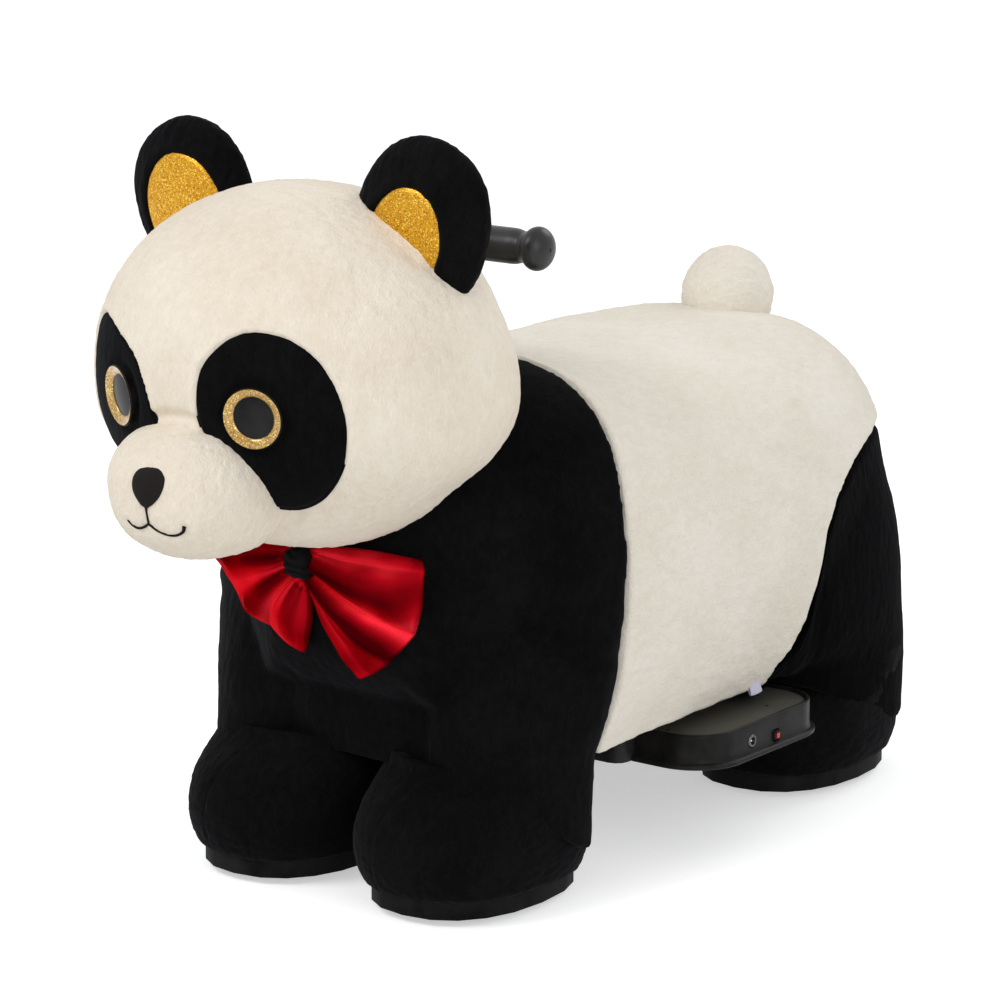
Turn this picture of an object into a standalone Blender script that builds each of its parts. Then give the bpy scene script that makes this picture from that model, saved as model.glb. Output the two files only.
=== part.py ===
# Plush electric ride-on panda: soft skins over a steel and plastic rolling chassis.
# Metres, +Z up. The panda faces -Y and its left side is +X. The ground is Z = 0.

import bpy
import bmesh
from math import acos, cos, exp, pi, radians, sin, tan
from mathutils import Matrix, Vector

# Fits
GAP = 0.0003                      # air left between touching pieces
RUN = 0.0005                      # air around a turning shaft
WALL = 0.003                      # moulded plastic wall

# Head and face
HEAD_CENTRE = (0.0, -0.223, 0.431)
HEAD_RADII = (0.173, 0.140, 0.139)
HEAD_BACK = 0.110                 # flatter behind, to clear the handlebar
HEAD_POWER = 2.15                 # over 2 the egg is a little squared
CHEEKS = 0.06                     # how much wider the head is low down than high up
BROW = 0.010                      # the face swells forward between the eyes
MUZZLE_CENTRE = (0.0, -0.345, 0.356)
MUZZLE_RADII = (0.066, 0.069, 0.052)
MUZZLE_POWER = 2.2
EAR_CENTRE = (0.117, -0.222, 0.550)
EAR_RADII = (0.059, 0.020, 0.063)
EAR_LEAN = radians(24)
LINING_RADII = (0.033, 0.041)
PATCH_CENTRE = (0.069, 0.411)     # X and Z of the eye patch, seen from the front
PATCH_RADII = (0.051, 0.067)
PATCH_TILT = radians(21)
PAD = 0.0022                      # thickness of a sewn-on patch
EYE_CENTRE = (0.060, -0.3612, 0.418)
EYE_RADIUS = 0.0238
EYE_DOME = 0.0105                 # height of the dome over its base
NOSE_CENTRE = (0.0, -0.4115, 0.367)
NOSE_RADII = (0.0165, 0.009, 0.0150)

# Torso: y, half width, top, half width at the hem, hem height, height of the widest point, crown power
SEAM_Y = -0.088                   # the black yoke ends here and the cream body starts
HEM_Z = 0.118
YOKE_STATIONS = [
    (SEAM_Y - GAP, 0.204, 0.428, 0.112, HEM_Z, 0.262, 3.2),
    (-0.120, 0.194, 0.427, 0.110, HEM_Z, 0.262, 3.0),
    (-0.150, 0.171, 0.418, 0.104, HEM_Z, 0.262, 2.8),
    (-0.174, 0.148, 0.400, 0.092, 0.122, 0.262, 2.6),
    (-0.190, 0.126, 0.374, 0.076, 0.150, 0.264, 2.4),
    (-0.204, 0.098, 0.346, 0.056, 0.188, 0.268, 2.3),
    (-0.214, 0.066, 0.320, 0.036, 0.226, 0.273, 2.2),
    (-0.219, 0.034, 0.298, 0.018, 0.254, 0.276, 2.0)]
BARREL_STATIONS = [
    (SEAM_Y, 0.204, 0.428, 0.177, HEM_Z, 0.262, 3.2),
    (-0.042, 0.204, 0.416, 0.172, HEM_Z, 0.262, 2.9),
    (0.010, 0.203, 0.406, 0.169, HEM_Z, 0.262, 2.65),
    (0.075, 0.201, 0.401, 0.166, HEM_Z, 0.262, 2.5),
    (0.140, 0.198, 0.400, 0.163, HEM_Z, 0.262, 2.5),
    (0.210, 0.193, 0.400, 0.160, HEM_Z, 0.262, 2.5),
    (0.270, 0.185, 0.400, 0.156, HEM_Z, 0.262, 2.45),
    (0.320, 0.173, 0.398, 0.150, HEM_Z, 0.262, 2.4),
    (0.360, 0.153, 0.391, 0.135, HEM_Z, 0.262, 2.35),
    (0.392, 0.126, 0.379, 0.110, HEM_Z, 0.262, 2.3),
    (0.415, 0.092, 0.362, 0.080, HEM_Z, 0.262, 2.2),
    (0.429, 0.045, 0.342, 0.040, 0.230, 0.290, 2.0)]
HAUNCH_SEAM = [(0.132, 0.100), (0.147, 0.135), (0.164, 0.149), (0.184, 0.173), (0.202, 0.202),
               (0.217, 0.240), (0.235, 0.274), (0.252, 0.293), (0.282, 0.308), (0.330, 0.316)]
TAIL_CENTRE = (0.0, 0.346, 0.404)
TAIL_RADII = (0.038, 0.044, 0.043)

# Legs: each level is z, centre x, centre y, half width, half length
FRONT_LEG_LEVELS = [
    (HEM_Z + GAP, 0.094, -0.107, 0.083, 0.075), (0.150, 0.099, -0.106, 0.088, 0.074),
    (0.190, 0.102, -0.105, 0.093, 0.071), (0.230, 0.104, -0.104, 0.097, 0.069),
    (0.265, 0.104, -0.104, 0.099, 0.066), (0.300, 0.101, -0.104, 0.098, 0.058),
    (0.330, 0.097, -0.104, 0.088, 0.042)]
REAR_LEG_LEVELS = [
    (HEM_Z + GAP, 0.098, 0.312, 0.079, 0.096), (0.132, 0.098, 0.286, 0.086, 0.121),
    (0.152, 0.098, 0.264, 0.090, 0.140), (0.190, 0.098, 0.254, 0.092, 0.146),
    (0.235, 0.097, 0.247, 0.092, 0.144), (0.280, 0.095, 0.237, 0.089, 0.137),
    (0.330, 0.092, 0.222, 0.083, 0.128)]

# Paws: each level is z, front, back and half width about the wheel's centre
PAW_POWER = 2.3
PAW_LEVELS = [
    (0.020, -0.081, 0.106, 0.074), (0.038, -0.088, 0.111, 0.079), (0.058, -0.089, 0.113, 0.080),
    (0.076, -0.081, 0.112, 0.080), (0.090, -0.067, 0.112, 0.079), (0.099, -0.051, 0.111, 0.079),
    (0.107, -0.042, 0.111, 0.079), (HEM_Z, -0.040, 0.111, 0.079)]

# Rolling gear
WHEEL_RADIUS = 0.045
WHEEL_WIDTH = 0.028
WHEEL_EDGE = 0.004
FRONT_WHEEL = (0.086, -0.143)
REAR_WHEEL = (0.101, 0.293)
AXLE_RADIUS = 0.005
ARCH_RADIUS = 0.061
ARCH_HALF_WIDTH = 0.042
SKIRT_HALF = (0.068, 0.090)
SKIRT_SHIFT = 0.012               # the paw reaches further back than forward of its wheel
SKIRT_LOW = 0.006
SKIRT_TOP = 0.036

# Frame: a spine between two cross beams
FRAME_LOW = 0.108
FRAME_TOP = 0.132
BEAM_HALF_Y = 0.018
BEAM_HALF_X = 0.104
SPINE_HALF = 0.015
HANGER_HALF = (0.009, 0.011)
HANGER_LOW = 0.034
POST_RADIUS = 0.011
SEAT_FRONT_Y = -0.030
SEAT_REAR_Y = 0.122
SEAT_Z = 0.352
SEAT_BEND = 0.030
SEAT_BOARD_HALF = (0.105, 0.130)
SEAT_BOARD_SHIFT = 0.020          # the board reaches further back than the hoop
SEAT_BOARD_THICK = 0.012

# Steering: arms of equal length, all pointing back, so every pivot turns by the same angle
COLUMN_Y = -0.104
COLUMN_RADIUS = 0.010
ARM_LENGTH = 0.030
KINGPIN_RADIUS = 0.006
PIN_RADIUS = 0.003
PLATE = 0.004                     # thickness of the arms and of the tie rod
ARM_Z = 0.138
ROD_Z = 0.1425
PITMAN_Z = 0.147
CROWN_Z = (0.093, 0.098)
FORK_LEG_X = (0.0175, 0.0215)
FORK_AXLE_RADIUS = 0.004
FORK_AXLE_HALF = 0.024
BAR_Y = -0.092
BAR_Z = 0.513
BAR_RADIUS = 0.011
BAR_HALF = 0.114
GRIP_START = 0.066
GRIP_RADIUS = 0.014
KNOB_RADIUS = 0.0172
KNOB_X = 0.119
POD_X = (-0.060, -0.034)
POD_RADIUS = 0.0155
GO_RADIUS = 0.006
GO_BACK = 0.0112                  # back of the go button behind the bar's axis

# Drive train in the rear right wheel arch
GEAR_MODULE = 0.0018
FINE_MODULE = 0.0012
DRIVEN_TEETH = 30
PINION_TEETH = 10
CLUSTER_TEETH = 30
CLUSTER_ANGLE = radians(47.4)
CLUSTER_REACH = GEAR_MODULE * (DRIVEN_TEETH + PINION_TEETH) / 2
PINION_REACH = FINE_MODULE * (CLUSTER_TEETH + PINION_TEETH) / 2
PINION_DISTANCE = 0.050
MOTOR_RADIUS = 0.0138
MOTOR_X = (-0.0585, -0.0205)
DRIVEN_X = (-0.0866, -0.0812)
SMALL_X = (-0.0862, -0.0790)
CLUSTER_X = (-0.0803, -0.0755)
GEAR_PLATE_X = (-0.0735, -0.0710)
GEAR_PLATE_RADIUS = 0.053
SPINDLE_RADIUS = 0.0021
MOTOR_SHAFT_RADIUS = 0.0015
SHAFT_HOLE_RADIUS = 0.003

# Chassis tray, foot steps and what they carry
TRAY_LOW = 0.080
TRAY_TOP = FRAME_LOW - GAP
TRAY_HALF_X = 0.129
TRAY_Y = (0.007, 0.174)
STEP_X = (TRAY_HALF_X + GAP, 0.200)
STEP_Y = (0.027, 0.206)
STEP_FLARE = 0.0045               # the foot of the step's wall stands out by this
STEP_TOP = 0.108
STEP_CORNER = 0.040
SOCKET_AT = (0.201, 0.092, 0.0935)
SOCKET_RADIUS = 0.0056
SOCKET_BORE = 0.0033
BUTTON_AT = (0.2025, 0.127, 0.0905)
BUTTON_HALF = (0.005, 0.004)
BUTTON_DEPTH = 0.014
BATTERY_LOW = (0.022, 0.020)
BATTERY_HIGH = (0.092, 0.121)
BATTERY_TOP = 0.1303
BOARD_LOW = (-0.098, 0.030)
BOARD_HIGH = (-0.028, 0.110)
BOARD_Z = (0.0870, 0.0886)

# Rooms in the padding for the chassis: lowest and highest corners
STEERING_ROOM = ((-0.112, -0.166, 0.1045), (0.112, -0.058, 0.162))
SPINE_ROOM = ((-0.018, -0.100, 0.100), (0.018, 0.330, 0.136))
TRAY_ROOM = ((-0.112, -0.100, 0.100), (0.112, 0.1318, 0.136))
REAR_BEAM_ROOM = ((-0.107, 0.272, 0.1065), (0.107, 0.314, 0.136))
FOOT_ROOM = ((-0.019, -0.1302, 0.120), (0.019, -0.1070, 0.2362))
TUBE_ROOM_RADIUS = 0.0165
COLUMN_ROOM_RADIUS = 0.0115

# Bow: outline of the left lobe from the knot, in X and Z about the knot
BOW_CENTRE = (0.0, -0.233, 0.276)
BOW_LENGTH = 0.088
BOW_TOP_ANGLE = radians(6)
BOW_LOW_ANGLE = radians(-66)
BOW_SWEEP = 0.016                 # the tips lie back round the chest
BOW_SLOPE = 0.28                  # and the lower edge follows the chest down and back


def clear_scene():
    for item in list(bpy.data.objects):
        bpy.data.objects.remove(item, do_unlink=True)


def make_collection(name):
    made = bpy.data.collections.new(name)
    bpy.context.scene.collection.children.link(made)
    return made


def tint(red, green, blue):
    # screen colour, 0 to 255, as linear light
    levels = [value / 255 for value in (red, green, blue)]
    return tuple(v / 12.92 if v <= 0.04045 else ((v + 0.055) / 1.055) ** 2.4 for v in levels) + (1.0,)


def make_look(name, colour, roughness, metallic=0.0):
    look = bpy.data.materials.new(name)
    look.use_nodes = True
    shader = look.node_tree.nodes["Principled BSDF"]
    shader.inputs["Base Color"].default_value = colour
    shader.inputs["Roughness"].default_value = roughness
    shader.inputs["Metallic"].default_value = metallic
    look.diffuse_color = colour
    return look


def add(name, shape, look, group, origin=(0, 0, 0)):
    # shape holds world positions; the object's own origin is set to the given point
    shape.transform(Matrix.Translation(-Vector(origin)))
    made = bpy.data.objects.new(name, shape)
    made.location = origin
    if look:
        shape.materials.append(look)
    group.objects.link(made)
    return made


def to_mesh(name, work):
    bmesh.ops.recalc_face_normals(work, faces=work.faces)
    shape = bpy.data.meshes.new(name)
    work.to_mesh(shape)
    work.free()
    return shape


def smooth(made, angle=35):
    made.data.shade_smooth()
    made.data.set_sharp_from_angle(angle=radians(angle))
    return made


def box_mesh(name, low, high):
    work = bmesh.new()
    size = [b - a for a, b in zip(low, high)]
    middle = [(a + b) / 2 for a, b in zip(low, high)]
    place = Matrix.Translation(middle) @ Matrix.Diagonal((*size, 1.0))
    bmesh.ops.create_cube(work, size=1.0, matrix=place)
    return to_mesh(name, work)


def rod_mesh(name, start, end, radius, sides=16):
    work = bmesh.new()
    start, end = Vector(start), Vector(end)
    turn = (end - start).to_track_quat("Z", "Y").to_matrix().to_4x4()
    place = Matrix.Translation((start + end) / 2) @ turn
    bmesh.ops.create_cone(work, cap_ends=True, segments=sides, radius1=radius, radius2=radius,
                          depth=(end - start).length, matrix=place)
    return to_mesh(name, work)


def ball_mesh(name, centre, radii, around, up, back=None, turn=None, power=2.0, cheeks=0.0, brow=0.0):
    # an egg whose far side may be flatter, squared a little where power is over 2
    work = bmesh.new()
    bmesh.ops.create_uvsphere(work, u_segments=around, v_segments=up, radius=1.0)
    for vert in work.verts:
        spread = sum(abs(value) ** power for value in vert.co) ** (1 / power)
        unit = vert.co / spread
        depth = back if back and unit.y > 0 else radii[1]
        wide = radii[0] * (1 - cheeks * unit.z)
        bulge = brow * exp(-(unit.x / 0.38) ** 2 - (unit.z / 0.6) ** 2) if unit.y < 0 else 0.0
        vert.co = Vector((unit.x * wide, unit.y * depth - bulge, unit.z * radii[2]))
        if turn:
            vert.co = turn @ vert.co
        vert.co += Vector(centre)
    bmesh.ops.triangulate(work, faces=work.faces)
    return to_mesh(name, work)


def loft_mesh(name, rings):
    work = bmesh.new()
    rows = [[work.verts.new(point) for point in ring] for ring in rings]
    count = len(rows[0])
    for row, following in zip(rows, rows[1:]):
        for k in range(count):
            j = (k + 1) % count
            work.faces.new((row[k], row[j], following[j], following[k]))
    work.faces.new(rows[0])
    work.faces.new(rows[-1])
    bmesh.ops.triangulate(work, faces=work.faces)
    return to_mesh(name, work)


def prism_mesh(name, outline, low, high, axis="Z"):
    # outline is in the two axes that are left, in their order X, Y, Z
    work = bmesh.new()
    places = {"X": lambda a, b, h: (h, a, b), "Y": lambda a, b, h: (a, h, b), "Z": lambda a, b, h: (a, b, h)}
    place = places[axis]
    face = work.faces.new([work.verts.new(place(a, b, low)) for a, b in outline])
    drawn = bmesh.ops.extrude_face_region(work, geom=[face])["geom"]
    far_side = [item for item in drawn if isinstance(item, bmesh.types.BMVert)]
    bmesh.ops.translate(work, vec=Vector(place(0, 0, high - low)), verts=far_side)
    return to_mesh(name, work)


def superellipse(centre, half, power, count):
    points = []
    for k in range(count):
        angle = 2 * pi * k / count
        c, s = cos(angle), sin(angle)
        x = abs(c) ** (2 / power) * (1 if c >= 0 else -1)
        y = abs(s) ** (2 / power) * (1 if s >= 0 else -1)
        points.append((centre[0] + half[0] * x, centre[1] + half[1] * y))
    return points


def turned(name, profile, look, origin, axis, sides=24):
    # profile is (radius, height) from top to bottom of the outer side; it turns about the axis
    shape = bpy.data.meshes.new(name)
    points = [(radius, 0.0, height) for radius, height in profile]
    closed = profile[0][0] > 0 and profile[-1][0] > 0
    edges = [(k, k + 1) for k in range(len(points) - 1)]
    if closed:
        edges.append((len(points) - 1, 0))
    shape.from_pydata(points, edges, [])
    made = bpy.data.objects.new(name, shape)
    made.location = origin
    made.rotation_mode = "QUATERNION"
    made.rotation_quaternion = Vector(axis).to_track_quat("Z", "Y")
    shape.materials.append(look)
    PARTS.objects.link(made)
    spin = made.modifiers.new("Turn", "SCREW")
    spin.steps = spin.render_steps = sides
    spin.use_merge_vertices = True
    spin.merge_threshold = 0.00001
    spin.use_smooth_shade = False
    return made


def blade(name, shape):
    # a cutter, kept out of the model itself
    made = add(name, shape, None, CUTTERS)
    made.hide_render = True
    made.display_type = "WIRE"
    return made


def box_blade(name, low, high):
    return blade(name, box_mesh(name, low, high))


def rod_blade(name, start, end, radius, sides=16):
    return blade(name, rod_mesh(name, start, end, radius, sides))


def prism_blade(name, outline, low, high, axis="Z"):
    return blade(name, prism_mesh(name, outline, low, high, axis))


def grown(source, amount, name=None):
    made = source.copy()
    made.data = source.data.copy()
    made.name = name or source.name + "_room"
    CUTTERS.objects.link(made)
    made.hide_render = True
    made.display_type = "WIRE"
    if amount:
        swell = made.modifiers.new("Room", "DISPLACE")
        swell.strength = amount
        swell.mid_level = 0.0
    return made


def boolean(made, tool, operation):
    step = made.modifiers.new(operation.title(), "BOOLEAN")
    step.operation = operation
    step.object = tool
    step.solver = "EXACT"


def cut(made, *tools):
    for tool in tools:
        boolean(made, tool, "DIFFERENCE")
    return made


def keep_within(made, tool):
    boolean(made, tool, "INTERSECT")
    return made


def join(made, *tools):
    for tool in tools:
        boolean(made, tool, "UNION")
    return made


def mirror_name(name, side):
    return name + ("_left" if side > 0 else "_right")


# Head and face

def make_head():
    shape = ball_mesh("head", HEAD_CENTRE, HEAD_RADII, 24, 14, HEAD_BACK, None, HEAD_POWER, CHEEKS, BROW)
    return add("head", shape, CREAM, PARTS)


def make_muzzle():
    shape = ball_mesh("muzzle", MUZZLE_CENTRE, MUZZLE_RADII, 20, 10, power=MUZZLE_POWER)
    return add("muzzle", shape, CREAM, PARTS)


def sewn_patch(name, source, outline, span, look, room):
    # a thin pad that follows the surface under it: a grown copy kept within the outline
    pad = grown(source, PAD, name)
    CUTTERS.objects.unlink(pad)
    PARTS.objects.link(pad)
    pad.hide_render = False
    pad.display_type = "TEXTURED"
    pad.data.materials.clear()
    pad.data.materials.append(look)
    keep_within(pad, prism_blade(name + "_outline", outline, *span, axis="Y"))
    return smooth(cut(pad, room))


def tilted_ellipse(centre, radii, tilt, count):
    points = []
    for k in range(count):
        angle = 2 * pi * k / count
        a, b = radii[0] * cos(angle), radii[1] * sin(angle)
        points.append((centre[0] + a * cos(tilt) - b * sin(tilt), centre[1] + a * sin(tilt) + b * cos(tilt)))
    return points


def make_ear(side, head_room):
    centre = (side * EAR_CENTRE[0], EAR_CENTRE[1], EAR_CENTRE[2])
    lean = Matrix.Rotation(side * EAR_LEAN, 3, "Y")
    name = mirror_name("ear", side)
    ear = add(name, ball_mesh(name, centre, EAR_RADII, 18, 9, turn=lean), BLACK_PLUSH, PARTS)
    ear_room = grown(ear, GAP)
    lining = mirror_name("ear_lining", side)
    middle = (centre[0] - side * 0.003, centre[2] - 0.004)
    outline = tilted_ellipse(middle, LINING_RADII, -side * EAR_LEAN, 16)
    pad = sewn_patch(lining, ear, outline, (centre[1] - 0.06, centre[1]), GOLD, ear_room)
    cut(pad, head_room)
    cut(ear, head_room)
    smooth(ear)


def make_eye(side, head, head_room, muzzle_room):
    name = mirror_name("eye_patch", side)
    centre = (side * PATCH_CENTRE[0], PATCH_CENTRE[1])
    outline = tilted_ellipse(centre, PATCH_RADII, side * PATCH_TILT, 22)
    patch = sewn_patch(name, head, outline, (-0.45, HEAD_CENTRE[1]), BLACK_PLUSH, head_room)
    cut(patch, muzzle_room)
    # the eye is a low dome on a ring, standing square to the face
    away = Vector((side * EYE_CENTRE[0] / HEAD_RADII[0] ** 2,
                   (EYE_CENTRE[1] - HEAD_CENTRE[1]) / HEAD_RADII[1] ** 2,
                   (EYE_CENTRE[2] - HEAD_CENTRE[2]) / HEAD_RADII[2] ** 2)).normalized()
    base = Vector((side * EYE_CENTRE[0], EYE_CENTRE[1], EYE_CENTRE[2])) + away * 0.0005
    pupil, ring, edge = 0.017, 0.0195, 0.0225
    profile = [(0, EYE_DOME), (0.010, 0.0096), (pupil, 0.0072), (ring, 0.0052), (edge, 0.0048),
               (EYE_RADIUS, 0.0030), (EYE_RADIUS, 0.0), (0, 0.0)]
    eye = turned(mirror_name("eye", side), profile, EYE_LOOK, base, away, 24)
    seat = grown(head, PAD + GAP, mirror_name("eye_seat", side))
    return smooth(cut(eye, seat), 50)


def make_nose(muzzle_room):
    nose = add("nose", ball_mesh("nose", NOSE_CENTRE, NOSE_RADII, 14, 8), NOSE_LOOK, PARTS)
    return smooth(cut(nose, muzzle_room))


# Torso

def torso_ring(station, lower_power):
    # one section across the body: a rounded crown over sides that draw in to the hem
    y, half, top, hem_half, hem, widest, crown = station
    upper = []
    for k in range(1, 7):
        angle = pi / 2 * k / 7
        z = widest + (top - widest) * sin(angle) ** (2 / crown)
        x = half * cos(angle) ** (2 / crown)
        upper.append((x, z))
    lower = []
    for k in range(4):
        t = k / 3 * 0.93
        lower.append((half - (half - hem_half) * t ** lower_power, widest - (widest - hem) * t))
    foot = [(hem_half * 0.90, hem)]
    right = foot + lower[::-1] + upper
    ring = [(0.0, y, hem)] + [(x, y, z) for x, z in right] + [(0.0, y, top)]
    return ring + [(-x, y, z) for x, z in right[::-1]]


def make_yoke():
    rings = [torso_ring(station, 1.0) for station in YOKE_STATIONS]
    return add("shoulder_yoke", loft_mesh("shoulder_yoke", rings), BLACK_PLUSH, PARTS)


def make_barrel():
    rings = [torso_ring(station, 2.0) for station in BARREL_STATIONS]
    barrel = add("body_barrel", loft_mesh("body_barrel", rings), CREAM, PARTS)
    zone = HAUNCH_SEAM + [(0.46, HAUNCH_SEAM[-1][1]), (0.46, 0.10)]
    cut(barrel, prism_blade("haunch_zone", zone, -0.25, 0.25, axis="X"))
    return barrel


def leg_mesh(name, levels, side, power):
    rings = []
    for z, x, y, half_x, half_y in levels:
        ring = superellipse((side * x, y), (half_x, half_y), power, 24)
        rings.append([(a, b, z) for a, b in ring])
    return loft_mesh(name, rings)


def make_front_leg(side, room):
    name = mirror_name("front_leg", side)
    leg = add(name, leg_mesh(name, FRONT_LEG_LEVELS, side, 2.5), BLACK_PLUSH, PARTS)
    behind = box_blade(name + "_behind", (-0.3, SEAM_Y - 2 * GAP, 0.0), (0.3, 0.1, 0.5))
    return smooth(cut(leg, YOKE_ROOM, behind, *room))


def make_rear_leg(side, room):
    name = mirror_name("rear_leg", side)
    leg = add(name, leg_mesh(name, REAR_LEG_LEVELS, side, 3.0), BLACK_PLUSH, PARTS)
    zone = [(y + 1.5 * GAP, z - 1.5 * GAP) for y, z in HAUNCH_SEAM]
    zone += [(0.46, zone[-1][1]), (0.46, 0.05), (zone[0][0], 0.05)]
    span = sorted((side * GAP, side * 0.25))
    keep_within(leg, prism_blade(name + "_zone", zone, *span, axis="X"))
    return smooth(cut(leg, *room))


def make_tail(barrel_room):
    tail = add("tail", ball_mesh("tail", TAIL_CENTRE, TAIL_RADII, 16, 8), CREAM, PARTS)
    return smooth(cut(tail, barrel_room))


def make_paw(name, wheel, side, room):
    rings = []
    for z, front, back, half in PAW_LEVELS:
        middle = (side * wheel[0], wheel[1] + (front + back) / 2)
        ring = superellipse(middle, (half, (back - front) / 2), PAW_POWER, 20)
        rings.append([(a, b, z) for a, b in ring])
    paw = add(name, loft_mesh(name, rings), BLACK_PLUSH, PARTS)
    return smooth(cut(paw, *room))


# Wheels, covers and axles

def wheel_profile(bore):
    # a dished hub face on the outer side, flat behind
    edge, half, dish = WHEEL_EDGE, WHEEL_WIDTH / 2, 0.005
    return [(bore, half), (WHEEL_RADIUS * 0.45, half), (WHEEL_RADIUS * 0.52, half - dish),
            (WHEEL_RADIUS * 0.76, half), (WHEEL_RADIUS - edge, half), (WHEEL_RADIUS, half - edge),
            (WHEEL_RADIUS, edge - half), (WHEEL_RADIUS - edge, -half), (bore, -half)]


def make_wheel(name, x, y, bore):
    wheel = turned(name, wheel_profile(bore), RUBBER, (x, y, WHEEL_RADIUS), (1, 0, 0), 20)
    return smooth(wheel)


def cover_outer(name, wheel, side, grow):
    # skirt and wheel arch of one cover, grown outwards by the given amount, joined as one tool
    x, y = side * wheel[0], wheel[1]
    half = (SKIRT_HALF[0] + grow, SKIRT_HALF[1] + grow)
    low = SKIRT_LOW
    if grow > 0:
        low = 0.0
    elif grow < 0:
        low = -0.014
    outline = superellipse((x, y + SKIRT_SHIFT), half, PAW_POWER, 20)
    skirt = prism_blade(name + "_skirt", outline, low, SKIRT_TOP + grow)
    reach = ARCH_HALF_WIDTH + grow
    arch = rod_blade(name + "_arch", (x - reach, y, WHEEL_RADIUS), (x + reach, y, WHEEL_RADIUS),
                     ARCH_RADIUS + grow, 22)
    below = ((x - 0.1, y - 0.2, -0.2), (x + 0.1, y + 0.2, SKIRT_TOP - 0.008))
    cut(arch, box_blade(name + "_floor", *below))
    return join(skirt, arch)


def make_cover(name, wheel, side, *openings):
    cover = cover_outer(name, wheel, side, 0.0)
    CUTTERS.objects.unlink(cover)
    PARTS.objects.link(cover)
    cover.name = name
    cover.hide_render = False
    cover.display_type = "TEXTURED"
    cover.data.materials.append(COVER_PLASTIC)
    cut(cover, cover_outer(name + "_inside", wheel, side, -WALL), *openings)
    return smooth(cover)


def make_rear_axle():
    # a plain shaft with collars that keep the wheels and the gears in place along it
    y, z = REAR_WHEEL[1], WHEEL_RADIUS
    reach, collar, spacer = 0.124, 0.008, 0.007
    shaft = rod_mesh("rear_axle", (-reach, y, z), (reach, y, z), AXLE_RADIUS, 12)
    axle = add("rear_axle", shaft, STEEL, PARTS)
    outer = REAR_WHEEL[0] + WHEEL_WIDTH / 2
    inner = REAR_WHEEL[0] - WHEEL_WIDTH / 2
    collars = [(outer + GAP, outer + 0.006, collar), (-outer - 0.006, -outer - GAP, collar),
               (0.064, inner - GAP, collar), (DRIVEN_X[1] + 0.0007, GEAR_PLATE_X[0] - 0.001, spacer)]
    for start, end, radius in collars:
        join(axle, rod_blade("axle_collar", (start, y, z), (end, y, z), radius, 12))
    return smooth(axle)


# Frame and steering

def make_frame():
    # spine and cross beams meet face to face; the rear beam's hanger carries the axle
    front, rear = FRONT_WHEEL[1], REAR_WHEEL[1]
    low, high = front + BEAM_HALF_Y + GAP, rear - BEAM_HALF_Y - GAP
    add("frame_spine", box_mesh("frame_spine", (-SPINE_HALF, low, FRAME_LOW), (SPINE_HALF, high, FRAME_TOP)),
        STEEL_BLACK, PARTS)
    beams = []
    for name, y in (("front_beam", front), ("rear_beam", rear)):
        shape = box_mesh(name, (-BEAM_HALF_X, y - BEAM_HALF_Y, FRAME_LOW),
                         (BEAM_HALF_X, y + BEAM_HALF_Y, FRAME_TOP))
        beams.append(add(name, shape, STEEL_BLACK, PARTS))
    front_beam, rear_beam = beams
    half_x, half_y = HANGER_HALF
    join(rear_beam, box_blade("axle_hanger", (-half_x, rear - half_y, HANGER_LOW),
                              (half_x, rear + half_y, FRAME_LOW + 0.004)))
    cut(rear_beam, rod_blade("axle_bore", (-0.03, rear, WHEEL_RADIUS), (0.03, rear, WHEEL_RADIUS),
                             AXLE_RADIUS + GAP, 12))
    for side in (1, -1):
        x = side * FRONT_WHEEL[0]
        cut(front_beam, rod_blade("kingpin_bore", (x, front, 0.1), (x, front, 0.14), KINGPIN_RADIUS + RUN))


def make_fork(side):
    # axle pin, two legs, crown, kingpin, steering arm and its pin, as one welded piece
    name = mirror_name("fork", side)
    x, y = side * FRONT_WHEEL[0], FRONT_WHEEL[1]
    near, far = FORK_LEG_X
    crown_half_y, leg_half_y, leg_low = 0.0145, 0.011, 0.034
    crown = box_mesh(name, (x - far, y - crown_half_y, CROWN_Z[0]), (x + far, y + crown_half_y, CROWN_Z[1]))
    fork = add(name, crown, STEEL, PARTS, (x, y, 0.0))
    for reach in (-1, 1):
        left, right = sorted((x + reach * near, x + reach * far))
        join(fork, box_blade("fork_leg", (left, y - leg_half_y, leg_low),
                             (right, y + leg_half_y, CROWN_Z[0] + 0.002)))
    join(fork, rod_blade("fork_axle", (x - FORK_AXLE_HALF, y, WHEEL_RADIUS),
                         (x + FORK_AXLE_HALF, y, WHEEL_RADIUS), FORK_AXLE_RADIUS, 12))
    join(fork, rod_blade("kingpin", (x, y, CROWN_Z[1] - 0.002), (x, y, ARM_Z + PLATE), KINGPIN_RADIUS))
    arm = [(x + a, y + b) for a, b in arm_outline(ARM_LENGTH, 0.009, 0.006)]
    join(fork, prism_blade("steering_arm", arm, ARM_Z, ARM_Z + PLATE))
    pin = (x, y + ARM_LENGTH)
    join(fork, rod_blade("arm_pin", (*pin, ARM_Z + 0.003), (*pin, ROD_Z + PLATE + 0.0005), PIN_RADIUS, 12))
    return smooth(fork)


def arm_outline(length, near, far):
    points = []
    for k in range(7):
        angle = pi + pi * k / 6
        points.append((near * cos(angle), near * sin(angle)))
    for k in range(7):
        angle = pi * k / 6
        points.append((far * cos(angle), length + far * sin(angle)))
    return points


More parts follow.
